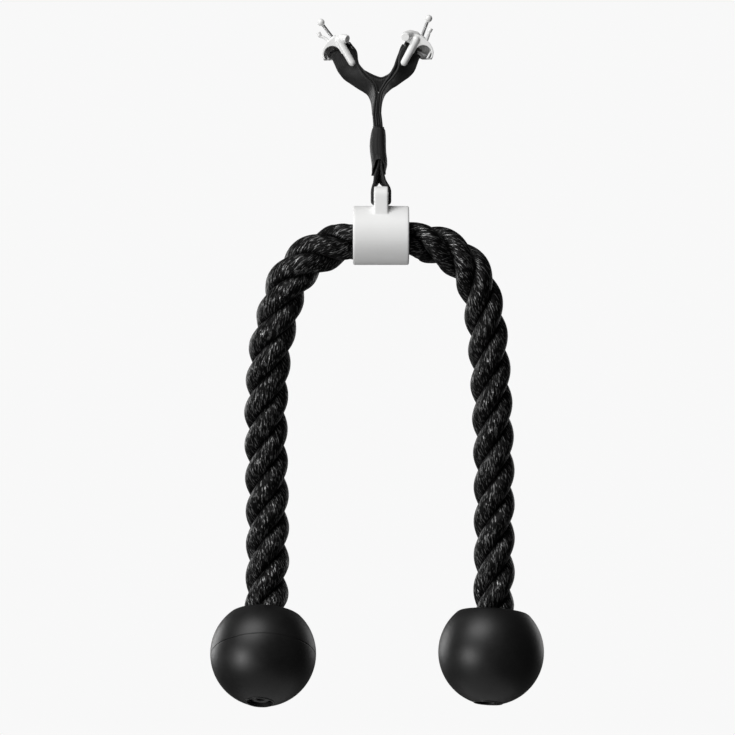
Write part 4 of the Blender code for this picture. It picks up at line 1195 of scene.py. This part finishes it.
def copy_of(node, name):
    """A merged copy of a solid, as a piece of its own that rides where the solid does."""
    source = frame["nodes"][node]
    obj = bpy.data.objects.new(name, source.data.copy())
    obj.data.name = name
    bpy.context.collection.objects.link(obj)
    with edited(obj) as shape:
        bmesh.ops.remove_doubles(shape, verts=shape.verts, dist=MERGE_REACH)
    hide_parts(node)
    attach(obj, source["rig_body"])
    return alone(obj)


def melted(node, name, skin):
    """A copy with an even skin and softened edges."""
    obj = copy_of(node, name)
    remesh = obj.modifiers.new("skin", "REMESH")
    remesh.mode = "VOXEL"
    relax = obj.modifiers.new("relax", "SMOOTH")
    relax.factor = 0.5
    remesh.voxel_size, relax.iterations = skin
    for modifier in ("skin", "relax"):
        bpy.ops.object.modifier_apply(modifier=modifier)
    bpy.ops.object.shade_smooth()
    print(name, "faces", len(obj.data.polygons))
    return obj


def turned(node, name):
    """A copy whose round faces are shaded smooth."""
    obj = copy_of(node, name)
    bpy.ops.object.shade_smooth_by_angle(angle=SHADE_BELOW)
    return obj


collar = melted("collar_shell", "collar", COLLAR_SKIN)
toggles, steel_pieces, ferrules = [], [], []
for side in SIDES:
    toggles.append(melted(f"{side}_toggle_body", f"{side}_toggle", TOGGLE_SKIN))
for side in SIDES:
    steel_pieces.append(turned(f"{side}_end_washer", f"{side}_washer"))
    steel_pieces.append(turned(f"{side}_crossbar", f"{side}_bar"))
    ferrules.append(turned(f"{side}_end_ferrule", f"{side}_ferrule"))
print("turned copies:", [piece.name for piece in steel_pieces + ferrules])

# %% [markdown]
# The small ball at the end of a cable is a sphere with a short collar where it is crimped on. It
# takes its place from the solids. The cord tail beside it gets the same kind of finer skin as the
# toggle.

# %% Cable balls and tails
TAIL_SKIN = (0.00016, 10)
TIP_MESH = (48, 32)         # segments and rings
TIP_THRESHOLD = 1e-6        # the ball is so small that Blender's usual 1e-4 would blur the cut
NECK_SWELL = 1.35           # the neck's radius over the cable's
NECK_STEPS = ((1, 0.0003), (0.9, 0.0005), (0.3, 0.0005))    # share of its radius, depth below the cut


def cable_ball(side):
    """A sphere on the cable's end, opened below and drawn into a short neck."""
    low, high = (Vector(c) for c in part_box(f"{side}_cable_ball"))
    foot, top, radius = rod_ends(f"{side}_cable")
    size, neck = (high - low).x / 2, radius * NECK_SWELL
    cut = -math.sqrt(size ** 2 - neck ** 2)
    ball = cut_sphere(f"{side}_tip", size, *TIP_MESH, [(cut, -1)], TIP_THRESHOLD)
    roll_rim(ball, cut, [(neck * share, cut - depth) for share, depth in NECK_STEPS])
    lie = Vector(top - foot).normalized().to_track_quat("Z", "Y").to_matrix().to_4x4()
    close_ball(ball, Matrix.Translation((low + high) / 2) @ lie)
    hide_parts(f"{side}_cable_ball")
    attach(ball, f"toggle_{side}")
    return ball


tips = [cable_ball(side) for side in SIDES]
tails = [melted(f"{side}_cable_tail", f"{side}_tail", TAIL_SKIN) for side in SIDES]

# %% [markdown]
# ## The finishes
#
# Webbing is a plain weave. Two waves, one across the band and one along it, multiply to a field of
# small bumps that stand for the yarns, and the colour is darkened between them, a painted shade.
# The waves read the cloth's own map, so they turn with the band. The weave's dull black is broken
# by a few paler fibres.

# %% Webbing
YARN_ACROSS = 0.00125
YARN_ALONG = 0.00100


def web_finish(name, dark, pale, gloss):
    finish = Finish(name, 0.6, Specular_IOR_Level=gloss, Sheen_Weight=0.08, Sheen_Roughness=0.45)
    cloth = finish.add("SeparateXYZ", Vector=finish.uv())
    across = finish.times(cloth.outputs["X"], 2 * math.pi / YARN_ACROSS)
    along = finish.times(cloth.outputs["Y"], 2 * math.pi / YARN_ALONG)
    weave = finish.times(finish.maths("SINE", across), finish.maths("SINE", along))
    ribs = finish.maths("ABSOLUTE", finish.maths("SINE", finish.times(across, 0.5)))
    relief_and_painted_pit_shade = finish.total(finish.times(weave, 0.5), finish.times(ribs, 0.6))
    spot = finish.position()
    fibre = finish.noise(finish.stretch(spot, (1, 1, 0.3)), 1800, 2.0)
    worn = finish.noise(spot, 170, 3.0, 0.6)
    # The relief darkens the colour between the yarns as well: painted shade.
    share = finish.total(finish.times(relief_and_painted_pit_shade, 0.40), finish.times(fibre, 0.55))
    share = finish.times(share, finish.total(worn, 0.35))
    colour = finish.ramp(share, (0.10, dark), (0.55, (dark + pale) / 2), (0.95, pale))
    rough = finish.total(finish.times(worn, 0.25), 0.42)
    coarse = finish.bump(relief_and_painted_pit_shade, 0.55, 0.00022)
    return finish.done(colour, rough, finish.bump(fibre, 0.45, 0.00012, coarse))


dress(web_finish("tether_webbing", dark=0.002, pale=0.024, gloss=0.40), *loops, tongue, lug_strap)
dress(web_finish("sleeve_webbing", dark=0.002, pale=0.020, gloss=0.35), keeper)

# %% [markdown]
# The collar and the toggles are white moulded plastic. Such a skin is never quite even: the wall
# sinks a little, and a fine spark-eroded grain keeps the skin from looking wet. Very weak noise at
# those two scales is enough, since the eye reads white plastic mostly from its soft shading.

# %% White plastic
WARMTH = (0.975, 0.975, 0.965)      # a shaded patch of the plastic, as a share of its tone
PALE_WARMTH = (1, 1, 0.995)         # and a pale one


def white_finish(name, tone, rough, grain):
    finish = Finish(name, rough, Specular_IOR_Level=0.45)
    spot = finish.position()
    patch = finish.noise(spot, 45, 3.0)
    grains = finish.noise(spot, 2600, 2.0)
    sink = finish.noise(spot, 130, 2.0)
    shaded, pale = (tuple(tone * part for part in warmth) for warmth in (WARMTH, PALE_WARMTH))
    colour = finish.ramp(patch, (0.30, shaded), (0.70, pale))
    wear = finish.total(finish.times(sink, 0.16), rough - 0.08)
    wide = finish.bump(sink, 0.12, 0.0004)
    return finish.done(colour, wear, finish.bump(grains, grain, 0.00008, wide))


dress(white_finish("collar_white", tone=0.80, rough=0.50, grain=0.30), collar)
dress(white_finish("toggle_white", tone=0.80, rough=0.36, grain=0.12), *toggles, *tips, *tails)

# %% [markdown]
# The balls are moulded rubber. Rubber is black all through and its skin is matt, with a broad soft
# highlight and a trace of pale bloom where it has been handled. Along the mould's seam the skin
# sinks by a hair and loses its gloss in patches. The ferrule is a harder, glossier black plastic,
# and washer, crossbar and cable are steel.

# %% Rubber, black plastic and steel
BLACK_GLOSS = 0.40
SEAM_GLOSS = 0.32           # how much of it the seam takes away
SEAM_EDGES = (0.20, 0.65)   # the seam fades between these distances, in millimetres


def black_finish(name, dark, pale, rough, grain, seam=False):
    finish = Finish(name, rough, Specular_IOR_Level=BLACK_GLOSS)
    spot = finish.position()
    bloom = finish.noise(spot, 55, 4.0, 0.6)
    speck = finish.noise(spot, 900, 2.0)
    fine = finish.noise(spot, 2200, 3.0, 0.6)
    share = finish.total(finish.times(bloom, 0.7), finish.times(speck, 0.3))
    colour = finish.ramp(share, (0.35, dark), (0.68, pale))
    wear = finish.total(finish.times(bloom, 0.16), rough - 0.08)
    skin = finish.bump(fine, grain, 0.00012)
    if seam:
        millimetres = finish.times(finish.maths("ABSOLUTE", finish.attribute("seam", "Fac")), 1000)
        line = finish.ramp(millimetres, (SEAM_EDGES[0], 1.0), (SEAM_EDGES[1], 0.0))
        patchy = finish.ramp(finish.noise(spot, 45, 2.0), (0.40, 0.45), (0.60, 1.0))
        line = finish.times(line, patchy)
        gloss = finish.maths("SUBTRACT", BLACK_GLOSS, finish.times(line, SEAM_GLOSS))
        finish.set(finish.shader.inputs["Specular IOR Level"], gloss)
        skin = finish.bump(finish.maths("SUBTRACT", 1.0, line), 0.6, 0.0003, skin)
    return finish.done(colour, wear, skin)


def steel_finish(name, tone, rough):
    finish = Finish(name, rough, metallic=1.0)
    spot = finish.position()
    fine = finish.noise(spot, 1500, 3.0)
    stain = finish.noise(spot, 300, 3.0)
    colour = finish.ramp(stain, (0.3, tone * 0.7), (0.7, tone))
    wear = finish.total(finish.times(stain, 0.2), rough - 0.1)
    return finish.done(colour, wear, finish.bump(fine, 0.15, 0.00005))


rubber = black_finish("ball_rubber", dark=0.002, pale=0.006, rough=0.46, grain=0.30, seam=True)
dress(rubber, *stop_balls)
dress(steel_finish("cable_steel", tone=0.42, rough=0.42), *cables)
dress(black_finish("ferrule_black", dark=0.008, pale=0.014, rough=0.34, grain=0.10), *ferrules)
dress(steel_finish("plain_steel", tone=0.60, rough=0.34), *steel_pieces)

# %% [markdown]
# ## The floor
#
# The rope hangs in its picture, so nothing of the floor is seen there. A plain pale disc stands
# under the balls all the same, for views from above. It isn't part of the object.

# %% The floor
FLOOR_RADIUS = 0.30
FLOOR_HEIGHT = -0.75
FLOOR_THICK = 0.01

bpy.ops.object.select_all(action="DESELECT")
floor_middle = (0, 0, FLOOR_HEIGHT - FLOOR_THICK / 2)
bpy.ops.mesh.primitive_cylinder_add(
    vertices=128, radius=FLOOR_RADIUS, depth=FLOOR_THICK, location=floor_middle)
floor = bpy.context.object
floor.name = "floor"
bpy.ops.object.transform_apply(location=True)
floor_finish = Finish("pale_floor", 0.7)
floor_patches = floor_finish.noise(floor_finish.position(), 12, 4.0)
dress(floor_finish.done(floor_finish.ramp(floor_patches, (0.3, 0.74), (0.7, 0.80))), floor)
print("floor at", FLOOR_HEIGHT)
